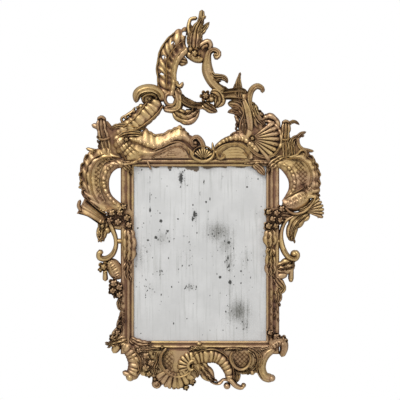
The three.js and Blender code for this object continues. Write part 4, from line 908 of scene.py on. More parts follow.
# On the right shoulder: veins, collars and ferns on the stems, and beads along the shell's rim.
right_small = {
    "arm_flutes": band(
        [[22, 66.4], [30, 67.4], [37, 68], [45, 68]], [0.8, 1, 1.2, 1], [46, 48, 48, 46]),
    "arm_flutes_low": band(
        [[22, 61.6], [30, 62], [38, 61.4], [45, 61]], [0.8, 1, 1.2, 1], [46, 48, 48, 46]),
    "flame_heart": band([[41, 60], [39.4, 69], [38.8, 80]], [3.4, 2.4, 0.8], [48, 46, 40], leaf),
    "flame_side": band([[36, 66], [34.4, 71], [35.4, 76.6]], [1.6, 1.7, 0.7], [42, 40, 35], leaf),
    "body_leaf": band(
        [[50, 27], [49.4, 38], [47, 50], [42.8, 61]], [3.6, 5, 4.8, 2.6], [48, 51, 51, 46], fluted),
    "body_roll": band(
        [[37.6, 61], [42, 54], [43.4, 46], [40.6, 38], [39, 28]], [1.1, 1.4, 1.5, 1.5, 1.2],
        [44, 46, 47, 46, 44]),
    "inner_leaf_fork": band([[41, 48], [37, 52], [31, 53]], [1.6, 2.2, 1], [48, 48, 42], leaf),
    "inner_leaf_fork_low": band([[43, 43], [38, 45.6], [32.6, 46]], [1.6, 2, 0.9], [44, 44, 38], leaf),
    "inner_fern": sprays([[37, 24], [38.4, 32], [39.6, 40], [42, 47]], 7, 4.6, 1.4, 42, 50, sides=(1,)),
    "outer_fern": sprays([[52, 57], [56, 50], [62, 44], [70, 43]], 6, 3.6, 1.2, 42, 60, sides=(1,)),
    "shell_knuckle": boss([52, 21], 4.2, 54, petals=5),
    "shell_beads": beads(
        [[57, 33], [64, 34.4], [71, 31.4], [75, 25], [75.4, 17], [72, 11]], 9, 1.2, 55),
    "post_heart": band(
        [[85.6, 3], [85, 14], [84.8, 24], [85.4, 35]], [1.6, 2, 2.2, 1.2], [44, 47, 49, 47], leaf),
    "post_collar": band([[80, 21], [84.6, 19.6], [89.6, 21.4]], [1.2, 1.5, 1.2], [47, 50, 47]),
    "post_crown": band([[81.4, 36.4], [85.4, 38.6], [89.4, 36.6]], [1.3, 1.8, 1.3], [45, 47, 45]),
    "bed_leaf": band([[79, 3], [90, 1], [99, 4], [104, 10]], [2.4, 4, 4, 2], [38, 42, 42, 38], leaf),
    "bed_leaf_up": band([[88, 4], [89, 12], [93, 19]], [2.4, 3, 1.4], [40, 42, 40], leaf),
    "bed_scroll": band(
        [[96, 3], [100, 9], [105, 8.6], [105, 3.6], [101, 2.4]], [1.2, 1.6, 1.7, 1.5, 1.2],
        [42, 46, 47, 47, 46]),
    "bed_edge": band(
        [[46, -3.6], [60, -2.6], [76, -3.2], [92, -2], [101, -2]], [1.2, 1.7, 1.7, 1.7, 1],
        [36, 38, 38, 38, 36], scallops=12),
    "stem_fern": sprays([[92, 4], [91.4, 13], [94, 20], [101, 25]], 6, 3.6, 1.2, 44, 50),
    "body_leaf_side": band(
        [[44.6, 24], [43.6, 33], [44.4, 42], [43, 50]], [1.6, 2.6, 2.6, 1.2], [46, 49, 49, 44], leaf),
    "body_leaf_low": band([[54, 34], [53.6, 41], [50.6, 49]], [1.6, 2.6, 1.2], [46, 49, 44], leaf),
    "body_hook": band(
        [[56, 44], [60, 40], [63.6, 40.6], [64, 44]], [1.4, 1.8, 1.6, 1], [46, 50, 50, 46]),
    "body_cheek": band(
        [[65, 33], [59, 39.6], [55, 47], [53, 56]], [2.4, 4, 4, 2], [47, 50, 50, 46], leaf),
    "body_brow": band([[58, 31], [55, 36], [54.6, 42]], [1.4, 2, 1], [48, 51, 49]),
}


# A trellis: the directions of its two sets of ribs, their half-width and their least length.
TRELLIS_TURNS = np.radians([45, 135])
TRELLIS_HALF = 0.6
SHORTEST_RIB = 1.5


def trellis(outline, pitch, rise):
    """A gilded panel with crossed ribs over it, cut off at its outline."""
    corners = np.asarray(outline, float)
    ends = np.roll(corners, -1, 0)
    middle = corners.mean(0)
    parts = [ground(outline, rise - 3, gold_and_painted_light=0.75)]
    for angle in TRELLIS_TURNS:
        way = np.array([np.cos(angle), np.sin(angle)])
        aside = np.array([-way[1], way[0]])
        reach = np.abs((corners - middle) @ aside).max()
        for step in np.arange(-int(reach / pitch), int(reach / pitch) + 1) * pitch:
            a = (corners - middle) @ aside - step
            b = (ends - middle) @ aside - step
            crossed = a * b < 0
            if crossed.sum() < 2:
                continue
            where = corners + (ends - corners) * (a / np.where(crossed, a - b, 1))[:, None]
            share = np.sort(((where - middle) @ way)[crossed])
            if share[-1] - share[0] < SHORTEST_RIB:
                continue
            line = [middle + aside * step + way * s for s in (share[0], share[-1])]
            parts.append(band(line, TRELLIS_HALF, rise))
    return joined(parts)


def lobe_curls(tips, side):
    """Small curls on the tips of an ear's lobes, turned right, where side is 1, or left."""
    curls = []
    for x, z in tips:
        path = [[-1.5, 3.4], [2, 2.6], [3, -0.6], [0.6, -2.4]]
        path = [[x + side * across, z + up] for across, up in path]
        curls.append(band(path, [0.8, 1.1, 1.1, 0.8], [42, 46, 46, 44]))
    return joined(curls)


# On the right wing: the ribbed inner roll, the trellis panel, beads and curls on the lobes, the
# ribs of the basket, and the leaves that trail down over the rail.
right_wing_small = {
    "inner_roll": band(
        [[78, -3.6], [86, -6.2], [91.6, -13], [94, -21.8], [92.6, -30], [88, -36.6]],
        [1.8, 2.6, 3, 3, 2.6, 1.6], [49, 54, 56, 56, 54, 49], ribs=9),
    "arc": band(
        [[88, 2], [98, 1.2], [105.4, -3.4], [109.6, -11], [110.4, -20], [107, -28.6]],
        [1, 1.3, 1.4, 1.4, 1.4, 1], [52, 56, 56, 56, 56, 50]),
    "arc_outer": band(
        [[98, 6], [106, 3.4], [112, -3], [114.6, -12], [115, -22], [113.4, -32]],
        [0.7, 0.9, 1, 1, 1, 0.8], [44, 46, 46, 46, 46, 44]),
    "trellis": trellis(
        [[92, -1.4], [99, -1.6], [104, -6.5], [107, -13.5], [106.4, -22], [101, -24], [96.6, -17],
         [93.6, -9]],
        3.1, 42),
    "lobe_beads": beads([[104, 6.6], [111.6, 1], [116.4, -7], [118, -16.6], [118, -26.4]], 9, 1.3, 40),
    "knot_heart": boss([109, -29], 2, 53, rings=6),
    "knot_sprays": sprays([[100, -25], [106, -26], [113, -31], [117, -38]], 8, 4.2, 1.4, 47, 55),
    "basket_ribs": band(
        [[84, -45], [92, -42.2], [100, -38.4], [108.4, -33.4]], [3.8, 7.4, 8.2, 5.4], [46, 52, 54, 48],
        ribs=8),
    "basket_edge": band(
        [[84, -38.4], [91, -34], [98, -30.6], [104, -27]], [1, 1.3, 1.3, 0.9], [48, 50, 50, 46]),
    "shell_beads": beads([[116, -44.6], [118.4, -50.6], [118, -57]], 4, 1.2, 48),
    "basket_fern": sprays([[79, -54], [87, -54.6], [96, -57], [104, -56]], 8, 4, 1.4, 43, 50),
    "hanging_heart": band(
        [[103, -54], [96.6, -61.6], [92, -69], [91.4, -78]], [2, 2.6, 2.6, 1.2], [47, 49, 48, 44],
        leaf),
    "hanging_forks": sprays([[104, -56], [97, -63.6], [92, -72], [91.4, -80]], 7, 4.6, 1.4, 45, 48),
    "volute_roll": band(
        [[83.4, -88], [88, -95.6], [94.4, -98], [96.6, -94.6]], [0.7, 0.9, 0.9, 0.7], [46, 50, 54, 54]),
    "cluster_fern": sprays([[76, -108], [84, -106.4], [93, -104]], 9, 5, 1.5, 47, 52),
    "cluster_heart": boss([85, -106], 2.6, 52, petals=4, rings=7),
    "bead_tip": boss([90.6, -119.6], 2.4, 43, rings=6),
    "leaf_fern": sprays(
        [[76, -118], [80, -126], [78, -134], [77.4, -143], [76, -152], [76, -160]], 11, 4, 1.3, 42, 48),
    "rail_fern": sprays(
        [[70, -68], [70.4, -80], [70.4, -92], [70.4, -106], [71, -116]], 13, 5.4, 1.6, 47, 42),
    "rail_trail": sprays(
        [[71.6, -120], [72.6, -134], [71.6, -148], [72.4, -162], [72, -172]], 12, 3.8, 1.2, 39, 40),
    "corner_fern": sprays([[68, -170], [74, -176], [82, -181]], 6, 4, 1.3, 46, 50),
    "lobe_curls": lobe_curls([[102, 6], [109.6, 1], [114.4, -6.6], [116.6, -15], [116.6, -24]], 1),
    "basket_fill": band(
        [[98, -51], [106, -48.6], [112, -43], [115, -37]], [2.6, 3.6, 3.6, 2.4], [42, 45, 45, 42],
        leaf),
    "flower_bed": ground([[84, -46.5], [67, -49], [66, -68], [76, -69], [83, -60]], 35, gold_and_painted_light=0.6),
}

# On the left wing: the same, with flutes in the flare and knobs on the drop.
left_wing_small = {
    "inner_roll": band(
        [[-76.5, -4.4], [-85, -4.6], [-92, -9.8], [-95.4, -18], [-94.8, -27.4], [-90.8, -36],
         [-85, -42.6], [-79.6, -48]],
        [1.8, 2.6, 3, 3.2, 3.2, 3, 2.6, 1.6], [50, 55, 57, 57, 57, 57, 55, 50], ribs=13),
    "arc": band(
        [[-86, 2.6], [-95, 2.4], [-103.4, -2.4], [-108.4, -12], [-108.4, -24], [-106, -34],
         [-100, -44]],
        [1, 1.3, 1.4, 1.4, 1.4, 1.4, 1], [51, 55, 56, 56, 56, 56, 51]),
    "ribbed_band": band(
        [[-94, 6], [-104, 2.6], [-110.8, -5], [-113.4, -15], [-112.6, -25], [-109.6, -34]],
        [1, 1.1, 1.1, 1.1, 1.1, 0.9], [48, 50, 50, 50, 50, 48]),
    "trellis": trellis(
        [[-92, -1], [-100, -3.4], [-105, -11], [-105.4, -23], [-102.4, -34], [-97, -43], [-94, -42],
         [-98, -33], [-100.4, -22], [-99, -12], [-95, -4]],
        3, 43),
    "lobe_beads": beads(
        [[-104, 9], [-112, 3.6], [-116.4, -5], [-118.2, -14.6], [-117.8, -24], [-116.6, -34]], 10, 1.3,
        40),
    "ridge_line": band(
        [[-114, -34], [-110, -41], [-103, -47.6], [-96, -52.6], [-90, -55]], [0.9, 1.1, 1.2, 1.1, 0.8],
        [46, 48, 49, 49, 46]),
    "ridge_beads": beads([[-112, -37], [-106.4, -43.6], [-99.6, -49], [-92, -52]], 9, 1.2, 48),
    "flare_lip": band([[-119.4, -39.6], [-120.8, -46], [-117.6, -52]], [1.6, 2.1, 1.6], [45, 48, 45]),
    "flare_ribs": band(
        [[-96, -61], [-103, -55.6], [-110, -51], [-117, -47]], [3.2, 4.2, 5, 6.4], [44, 47, 48, 45],
        scoop, round_ends=False),
    "drop_fern": sprays([[-95, -60], [-97, -69], [-98.6, -80]], 8, 4.6, 1.4, 45, 46),
    "volute_roll": band(
        [[-84.6, -87], [-88, -94], [-94, -97.6], [-99.4, -96]], [0.7, 0.9, 1, 0.8], [44, 48, 52, 54]),
    "rib_leaf_ribs": band(
        [[-91, -100], [-85.2, -108.4], [-80.4, -118]], [4, 6, 4.8], [43, 48, 43], ribs=8),
    "lump_heart": boss([-95.8, -106.6], 2.2, 48, rings=6),
    "lump_low": boss([-99, -109.4], 3, 42, petals=4, rings=7),
    "cluster_fern": sprays(
        [[-88, -118], [-83, -126], [-84, -134], [-79, -141], [-78, -150]], 11, 4, 1.3, 43, 52),
    "trail_fern": sprays([[-77, -151], [-78.4, -162], [-81, -171], [-86, -178]], 12, 5, 1.5, 43, 46),
    "trail_knobs": flowers([[-82, -172, 3.8], [-80, -166, 3.2], [-87, -177, 3.8]], 44),
    "rail_fern": sprays(
        [[-71.4, -69], [-70.6, -80], [-70.6, -92], [-72, -104], [-71.4, -118]], 13, 5.4, 1.6, 47, 42),
    "lobe_curls": lobe_curls(
        [[-104, 7], [-111.4, 2], [-115.4, -6.4], [-117, -15], [-116.4, -24], [-114.4, -32.4]], -1),
    "drop_knobs": joined([
        boss([-97, -66], 4, 47, petals=5, rings=6),
        boss([-100, -73], 3, 45, petals=4, rings=5),
        boss([-99, -79], 3.4, 44, petals=5, rings=5),
    ]),
    "flower_bed": ground(
        [[-92, -51], [-73, -45], [-67, -52], [-66.5, -67], [-80, -67], [-91, -62]], 35, gold_and_painted_light=0.6),
}

# On the apron: lips and balls on the legs, two trellis panels in their rings, the ribs of the
# cartouche, a second row of shell lobes, and leaves that hang between them.
apron_small = {
    "left_leg_lip": band(
        [[-72, -184], [-65, -190], [-59, -200], [-59.6, -209], [-63, -215]], [0.9, 1.1, 1.2, 1.1, 0.8],
        [46, 49, 50, 49, 47]),
    "left_leg_ball": boss([-69.6, -216.4], 4.4, 54, rings=8),
    "left_corner_fern": sprays([[-73, -179], [-83, -182.4], [-92, -184]], 8, 4.4, 1.4, 45, 48),
    "left_bed": sprays([[-46, -186], [-44, -196], [-45, -206], [-40, -214]], 9, 4.6, 1.4, 45, 50),
    "ring_inner": band(
        [[-31, -189], [-35, -194], [-35.4, -202], [-31.4, -208], [-25, -212.2], [-17, -212.2]],
        [0.6, 0.8, 0.8, 0.8, 0.8, 0.6], [45, 46, 46, 46, 46, 46]),
    "trellis": trellis(
        [[-33, -191], [-28, -190.6], [-26, -197], [-27.6, -205], [-25.6, -211.8], [-32, -208.6],
         [-36, -202], [-36, -194]],
        3.2, 44),
    "ring_ribs": fan([-8, -205], [3, 14.8], [82, 262], [56, 48], 8),
    "shell_curl_eye": band(
        [[-46, -223], [-43, -226.4], [-40, -223.4], [-43, -221]], [1.2, 1.4, 1.3, 1], [45, 47, 48, 48]),
    "arch_lip": band(
        [[-9, -196.4], [-2, -190.8], [7, -188.6], [16, -188.8], [24.6, -193.4], [31, -201.4],
         [33.6, -211], [33, -219]],
        [0.7, 0.9, 1, 1, 1, 1, 0.9, 0.7], [50, 51, 51, 51, 50, 49, 48, 45]),
    "inner_fern": sprays([[-1, -203], [5, -210.6], [10, -216.6], [14, -220.6]], 9, 4.6, 1.4, 47, 50),
    "trellis_right": trellis(
        [[33, -190], [46, -189.6], [50, -196], [47, -203.4], [40, -206.6], [34.6, -202]], 3.1, 41),
    "right_ring_inner": band(
        [[33.6, -196], [36.4, -203], [40.4, -205.8], [45.4, -203.8], [48, -198]],
        [0.5, 0.7, 0.7, 0.7, 0.5], [43, 44, 44, 44, 43]),
    "right_leaf_fern": sprays(
        [[48, -188], [55, -193], [57, -201], [52, -208.6], [45, -211.6]], 12, 4, 1.3, 46, 50),
    "right_bed": sprays([[60, -188], [62, -196], [57, -206]], 7, 4, 1.3, 43, 60),
    "right_leg_lip": band(
        [[71, -186], [62.6, -191], [57.4, -200], [57, -210], [62, -218.6]], [0.7, 0.9, 1, 0.9, 0.6],
        [45, 47, 48, 48, 47]),
    "right_leg_ball": boss([71.4, -217.4], 3.8, 54, rings=7),
    "hood_ribs": band(
        [[70, -187], [76.6, -182.6], [82, -183], [83.6, -188]], [3.4, 4.6, 3.8, 2.6], [48, 53, 52, 47],
        ribs=6),
    "foot_knob": boss([43.4, -224.6], 2.6, 52, rings=6),
    "knob_left": boss([-45, -218], 3, 46, petals=5, rings=7),
    "left_fall": band([[-62, -192], [-58.6, -200], [-60.4, -209]], [2.4, 3.6, 2], [44, 48, 44], leaf),
    "left_fall_inner": band(
        [[-44, -190], [-42.6, -199], [-45.6, -207], [-43, -215]], [2.4, 3.6, 3.6, 2.2],
        [44, 48, 48, 44], leaf),
    "left_swag": band(
        [[-66, -187], [-56, -189], [-46, -187.4], [-39, -189]], [2, 3, 2.8, 1.4], [42, 46, 46, 42],
        leaf),
    "shell_lobes": fan([-24, -203], [9, 24.6], [-152, -34], [51, 47], 7),
    "under_ring": band([[-8, -206], [-3, -211], [-2.4, -217]], [2.6, 3, 1.6], [46, 48, 44], leaf),
    "right_scroll": band(
        [[33, -189.4], [30, -196], [33, -204], [40, -208.4], [47, -205.6], [50.4, -198], [48, -191]],
        [1.4, 1.8, 2, 2, 2, 1.8, 1.2], [48, 52, 54, 54, 54, 52, 48]),
    "right_fall": band(
        [[56, -189], [61, -195], [60, -204], [54, -210]], [2.6, 3.8, 3.6, 2], [46, 50, 48, 44], leaf),
    "right_swag": band([[70, -186], [61, -189], [53, -188]], [2, 3, 1.6], [42, 46, 42], leaf),
    "right_low": band([[34, -212], [42, -210.6], [50, -212]], [1.8, 2.6, 1.6], [44, 48, 44], leaf),
    "arch_crown": band(
        [[-12, -190], [-6, -187.6], [2, -187], [9, -188.6]], [1.4, 2.4, 2.4, 1.2], [46, 50, 50, 46],
        leaf),
    "arch_crown_right": band(
        [[22, -190], [28, -187.8], [36, -187.6], [43, -189]], [1.2, 2, 2, 1], [44, 47, 47, 44], leaf),
    "ring_eye": band(
        [[-4, -199], [-9, -200], [-12, -204.6], [-9.4, -208.6], [-5.6, -207]],
        [1.6, 2.2, 2.4, 2.2, 1.4], [56, 59, 60, 60, 58]),
    "left_gilt": band([[-70, -192], [-63, -201], [-60, -211]], [1.2, 1.6, 1.2], [48, 51, 49]),
    "ring_glow": band(
        [[-35, -188], [-39.4, -195], [-39, -204], [-33, -212], [-25, -216.6]], [1, 1.3, 1.4, 1.3, 1],
        [50, 53, 54, 54, 52]),
    "flower_bed": ground(
        [[-63, -191], [-46, -193], [-46, -214], [-57, -213], [-62, -202]], 35, gold_and_painted_light=0.55),
}

# On the leaves at the corners of the rails.
corner_small = {
    "top_left_fern": sprays([[-80, -2], [-73, -7], [-68, -11]], 6, 3.6, 1.2, 45, 46),
    "top_right_fern": sprays([[83, 2], [75, -3], [68, -8.6]], 7, 4, 1.3, 47, 46),
    "bottom_left_fern": sprays([[-70, -179], [-60, -183.4], [-49, -183.5]], 8, 4, 1.3, 42, 46),
    "bottom_knobs": joined([
        boss([-37.6, -186.6], 2.6, 42, petals=4, rings=7),
        boss([-8, -187], 2.8, 43, petals=5, rings=7),
        boss([37, -188.6], 2.8, 43, petals=5, rings=7),
    ]),
}

# The rails' moulding, from the sight edge over the front to the outer edge: [distance out, rise].
RAIL = [
    [0, 13], [0, 18], [3, 21], [8, 22], [11, 20], [15, 26], [18, 33], [22, 35], [27, 32.5], [30, 29],
    [35, 29.5], [40, 33], [46, 33], [50, 29], [52, 24], [52, 0], [12, 0], [12, 12.5],
]
# The gold share on the rails at each distance out: a painted highlight on the sight bead and the raised
# mouldings, the red-brown bole colour in the hollows as painted shade.
RAIL_GOLD_AND_SHADE = np.array([
    [0, 0.5], [3, 0.95], [8, 0.9], [11, 0.15], [15, 0.45], [21, 0.9], [27, 0.4], [30, 0.1], [38, 0.6],
    [44, 0.95], [50, 0.3],
])
RAIL_STATIONS = 20
SIGHT_HALF_WIDTH = 66 * SQUARE
SIGHT_TOP = -6.5 * SQUARE
SIGHT_BOTTOM = -180.5 * SQUARE


def rails():
    """The moulding carried round the sight edge, mitred at the corners, with even stations along
    each side."""
    out, rise = np.array(RAIL).T * MM
    low, high = [SIGHT_BOTTOM, -1], [SIGHT_TOP, 1]
    corners = np.array([[-1, *low], [1, *low], [1, *high], [-1, *high], [-1, *low]])
    rings = []
    for start, end in zip(corners[:-1], corners[1:]):
        for share in np.linspace(0, 1, RAIL_STATIONS, endpoint=False):
            side, height, up = start + (end - start) * share
            rings.append(np.column_stack([side * (SIGHT_HALF_WIDTH + out), -rise, height + up * out]))
    rings = np.array(rings)
    index = np.arange(rings.shape[0] * rings.shape[1]).reshape(rings.shape[:2])
    nxt, ahead = np.roll(index, -1, 1), np.roll(index, -1, 0)
    faces = np.stack([index, nxt, np.roll(nxt, -1, 0), ahead], -1).reshape(-1, 4).tolist()
    gold_and_painted_light = np.interp(out, RAIL_GOLD_AND_SHADE[:, 0] * MM, RAIL_GOLD_AND_SHADE[:, 1])
    # The back and the rebate faces get none: painted shade.
    gold_and_painted_light[-3:] = 0
    return rings.reshape(-1, 3), faces, np.tile(gold_and_painted_light, len(rings))


large = [crest, left_shoulder, top_rail, right_shoulder, right_wing, left_wing, apron, corner_leaves]
small = [crest_small, left_small, top_small, right_small]
small += [right_wing_small, left_wing_small, apron_small, corner_small]
forms = [form for region in large for form in region.values()]
laid_on = [form for region in small for form in region.values()]
# Seen from behind, the forms' backs lie in steps: the small carving starts inside the large.
STEP = 0.09 * MM
SMALL_BACK = 14 * MM
for start, group in ((0, forms), (SMALL_BACK, laid_on)):
    for number, (points, _, _) in enumerate(group):
        near_back = points[:, 1] > -(BACK + 1) * MM
        points[near_back, 1] -= start + number % 40 * STEP


def new_piece(name, verts, faces, sharp=0):
    """A new object from points and faces, smooth but for the edges over that many degrees, or flat."""
    mesh = bpy.data.meshes.new(name)
    mesh.from_pydata(verts, [], faces)
    if sharp:
        mesh.polygons.foreach_set("use_smooth", np.ones(len(mesh.polygons), bool))
        mesh.set_sharp_from_angle(angle=np.radians(sharp))
    piece = bpy.data.objects.new(name, mesh)
    bpy.context.scene.collection.objects.link(piece)
    return piece


def keep_values(piece, name, values):
    """Stores one value at each point of a piece, for its material to read."""
    layer = piece.data.attributes.new(name, "FLOAT", "POINT")
    layer.data.foreach_set("value", values.astype(np.float32))


verts, faces, gold_and_shade = joined([rails()] + forms + laid_on, 0)
carving = new_piece("carving", verts, faces, sharp=50)
keep_values(carving, "gold_and_shade", gold_and_shade)


class Shade:
    """A shader socket that can be used in sums, products and other nodes' inputs."""

    def __init__(self, material, socket=None):
        self.tree = material.node_tree if hasattr(material, "node_tree") else material
        self.socket = socket

    def node(self, kind, settings=None, out=0, **inputs):
        """A node of that kind, with its settings and its inputs by name or number, as one output."""
        node = self.tree.nodes.new(kind)
        for name, value in (settings or {}).items():
            setattr(node, name, value)
        for name, value in inputs.items():
            key = int(name[1:]) if name[0] == "_" and name[1:].isdigit() else name.replace("_", " ")
            target = node.inputs[key]
            if isinstance(value, Shade):
                self.tree.links.new(value.socket, target)
            else:
                target.default_value = value
        return Shade(self.tree, node.outputs[out])

    def math(self, kind, a, b):
        return self.node("ShaderNodeMath", {"operation": kind}, _0=a, _1=b)

    def __add__(self, other):
        return self.math("ADD", self, other)

    def __sub__(self, other):
        return self.math("SUBTRACT", self, other)

    def __rsub__(self, other):
        return self.math("SUBTRACT", other, self)

    def __mul__(self, other):
        return self.math("MULTIPLY", self, other)

    __radd__ = __add__
    __rmul__ = __mul__

    def ramp(self, low, high):
        """0 at or under low, 1 at or over high, smooth between."""
        smooth_step = {"interpolation_type": "SMOOTHSTEP"}
        return self.node("ShaderNodeMapRange", smooth_step, Value=self, From_Min=low, From_Max=high)

    def mix(self, low, high):
        """The colour between low, where this is 0, and high, where it is 1."""
        return self.node("ShaderNodeMix", {"data_type": "RGBA"}, out=2, _0=self, _6=low, _7=high)


def surface(name, **fixed):
    """A new material with its principled shader's fixed values set, and its shading helper."""
    material = bpy.data.materials.new(name)
    material.use_nodes = True
    shader = material.node_tree.nodes["Principled BSDF"]
    for key, value in fixed.items():
        shader.inputs[key.replace("_", " ")].default_value = value
    return material, shader, Shade(material)


def feed(shade, shader, **links):
    """Links worked-out values to the shader's inputs."""
    for key, value in links.items():
        shade.tree.links.new(value.socket, shader.inputs[key.replace("_", " ")])


def colour(red, green, blue):
    """A linear colour from a screen colour, each from 0 to 255."""
    share = np.array([red, green, blue]) / 255
    return [*np.where(share < 0.04045, share / 12.92, ((share + 0.055) / 1.055) ** 2.4), 1]


gilding, shader, gilt = surface("gilding with wear and painted shade")
place = gilt.node("ShaderNodeTexCoord", out=3)
# The gold share kept at each point of the carving, painted with light: highlights on the tops, shade in
# grooves, hollows and at edges.
gold_share_with_painted_light = gilt.node("ShaderNodeAttribute", {"attribute_name": "gold_and_shade"}, out=2)
coarse = gilt.node("ShaderNodeTexNoise", Vector=place, Scale=24.0, Detail=4.0, Roughness=0.6)
fine_wear = gilt.node("ShaderNodeTexNoise", Vector=place, Scale=150.0, Detail=5.0, Roughness=0.65)
# How much ambient light reaches each point, from the ambient-occlusion node; below it paints shade into the
# colour where little light gets in.
ambient_light_reach = gilt.node("ShaderNodeAmbientOcclusion", {"samples": 8}, out=1, Distance=0.015)
# Wear joined with painted light: the gold share, noise for rubbed gilding, and less gold where little
# ambient light reaches, as painted shade.
wear_and_shade = gold_share_with_painted_light * 0.8 + (coarse - 0.5) * 0.9 + (fine_wear - 0.5) * 0.8 + (ambient_light_reach - 0.65) * 0.6
# Where gold shows rather than bole, and how light its tone is: wear with painted highlight and shade.
gilt_and_lit_share = wear_and_shade.ramp(0.0, 0.5)
highlight_and_wear = wear_and_shade.ramp(0.3, 1.0)
# The bole, painted darker where little ambient light reaches: painted shade.
brown = ambient_light_reach.ramp(0.2, 0.85).mix(colour(26, 15, 12), colour(112, 79, 62))
warmth = gilt.node("ShaderNodeTexNoise", Vector=place, Scale=9.0, Detail=3.0).ramp(0.38, 0.62)
# Yellow and coppery gold, each running from a painted-shade tone to a painted-highlight tone.
yellow = highlight_and_wear.mix(colour(124, 94, 62), colour(206, 177, 124))
copper = highlight_and_wear.mix(colour(118, 84, 62), colour(196, 164, 127))
# Painted shade with grime: the colour sinks to a dark brown where the ambient-occlusion node finds the
# surface closed in, in crevices and between forms.
crevice_shade_and_grime = ambient_light_reach.ramp(0.12, 0.72)
feed(
    gilt,
    shader,
    Base_Color=crevice_shade_and_grime.mix(colour(44, 28, 20), gilt_and_lit_share.mix(brown, warmth.mix(copper, yellow))),
    Metallic=gilt_and_lit_share * 0.75,
    Roughness=0.64 - highlight_and_wear * 0.18,
    Normal=gilt.node("ShaderNodeBump", Strength=0.4, Distance=0.0012, Height=coarse * 0.6 + fine_wear),
)
carving.data.materials.append(gilding)
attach(carving, "root")
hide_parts("carved_frame")

# Mirror plate
# One blown and ground glass plate, a little wavy and bevelled at its edges, silvered with tin and
# mercury that has spotted, crept and fallen away. It lies in the rebate behind the rails.
PLATE_PITCH = 2.4 * MM  # spacing of the points that carry the spots
PLATE_WAVE = 0.12 * MM
PLATE_BEVEL = 1.2 * MM

# Spots in the silvering, [across, up, half-width, half-height, strength], and the soft grey clouds
# round them, in squares.
SPOTS = np.array([
    [-19, -18, 2.2, 5.5, 0.8], [-17, -12, 1.4, 2.2, 0.6], [-19.4, -27, 0.9, 1.2, 0.7],
    [-50, -20, 0.5, 6, 0.55], [-50, -38, 0.5, 9, 0.6], [-49.8, -50, 0.9, 2.2, 0.9],
    [-50, -62, 0.4, 6, 0.4], [-40, -53, 0.9, 0.9, 0.8], [-39, -61, 1.3, 1.5, 1.0],
    [-44, -77.5, 1.4, 1.5, 1.0], [-52, -80, 1.1, 1.1, 0.8], [-32.4, -71, 1.3, 1.3, 0.8],
    [-5.5, -54, 1.1, 3, 1.0], [-7.4, -59, 0.9, 2.2, 0.9], [-7, -45, 0.8, 1, 0.8],
    [-22, -59, 0.9, 0.9, 0.8], [6, -42, 0.8, 1.2, 0.8], [10, -39, 0.8, 2, 0.7], [4, -22, 0.7, 2.5, 0.7],
    [0, -34, 0.6, 3, 0.6], [22, -17, 0.5, 5, 0.5], [47, -27, 0.9, 0.9, 0.9], [58, -19, 0.8, 0.8, 0.8],
    [-62, -68, 0.8, 1, 0.7], [14, -76, 0.9, 0.9, 0.7], [29, -82.5, 1.3, 1.4, 1.0],
    [-3, -73, 0.8, 0.9, 0.7], [-16, -76, 0.8, 0.8, 0.6], [-10, -90, 0.8, 0.9, 0.6],
    [12, -96, 0.8, 0.9, 0.6], [20, -87, 0.7, 0.9, 0.6], [28, -98, 0.9, 2, 0.8],
    [29, -106, 0.8, 2.2, 0.8], [34, -105, 0.8, 0.8, 0.7], [41, -111, 0.8, 0.9, 0.8],
    [20, -117, 1.2, 1.3, 1.0], [30, -122, 1.6, 1.8, 1.0], [-40, -111, 0.8, 0.8, 0.6],
    [-50, -128, 0.7, 0.7, 0.6], [52, -127, 0.7, 0.7, 0.6], [10, -170, 0.7, 0.7, 0.6],
    [23, -170, 0.7, 0.7, 0.6], [43, -169, 0.8, 0.8, 0.7], [-64, -95, 1, 2, 0.6],
    [-64, -88, 0.9, 1.2, 0.7], [-64, -106, 0.9, 1.6, 0.7], [-30, -10, 1.1, 1.1, 0.8],
    [-56, -48, 0.6, 0.8, 0.5], [-28, -161.5, 0.9, 0.6, 0.4], [36, -60, 0.6, 0.7, 0.5],
    [-33, -45, 0.6, 0.7, 0.5],
])
CLOUDS = np.array([
    [19, -72, 11, 9, 0.75], [26, -84, 7, 10, 0.6], [-38, -78, 7, 6, 0.5], [29, -100, 5, 12, 0.5],
    [45, -99, 5, 8, 0.3], [39, -151, 10, 10, 0.8], [45, -163, 4, 7, 0.6], [-10, -127, 5, 3.4, 0.5],
    [-40, -112, 4, 4, 0.3], [-50, -128, 4, 5, 0.25], [30, -131, 3, 15, 0.35], [-6, -55, 4, 7, 0.35],
    [-18, -20, 4, 8, 0.3], [-12, -92, 7, 14, 0.25], [-52, -88, 5, 8, 0.25], [-60, -97, 4, 9, 0.35],
])
# Where the silvering has fallen away along the top edge, listed in the same way.
LOSSES = np.array([
    [-56, -6.4, 8, 1.3, 0.9], [-20, -6.4, 8, 1.4, 0.9], [16, -6.4, 6, 1.4, 0.9],
    [-8, -6.4, 7, 3.6, 1.0], [-4, -8.6, 3, 3, 1.0], [8, -6.6, 6, 2.4, 1.0], [-30, -7, 2.6, 2.2, 0.9],
    [-44, -6.6, 4, 1.8, 0.8], [40, -6.6, 8, 1.8, 0.8], [56, -7.4, 5, 2.6, 0.8], [24, -6.6, 4, 2, 0.8],
])
SPECKS = 330


def specks(count):
    """Fine specks in the silvering, each as a spot: two in three near a cloud, the rest anywhere."""
    draw = np.random.default_rng(7)
    near = draw.integers(0, len(CLOUDS), count)
    x = CLOUDS[near, 0] + draw.normal(0, 0.8, count) * CLOUDS[near, 2]
    z = CLOUDS[near, 1] + draw.normal(0, 0.8, count) * CLOUDS[near, 3]
    anywhere = np.arange(count) % 3 == 0
    x = np.where(anywhere, draw.uniform(-65, 65, count), x)
    z = np.where(anywhere, draw.uniform(-176, -8, count), z)
    half_width = draw.uniform(0.25, 0.6, count)
    half_height = half_width * draw.uniform(0.8, 2.2, count)
    return np.column_stack([x, z, half_width, half_height, draw.uniform(0.4, 0.95, count)])


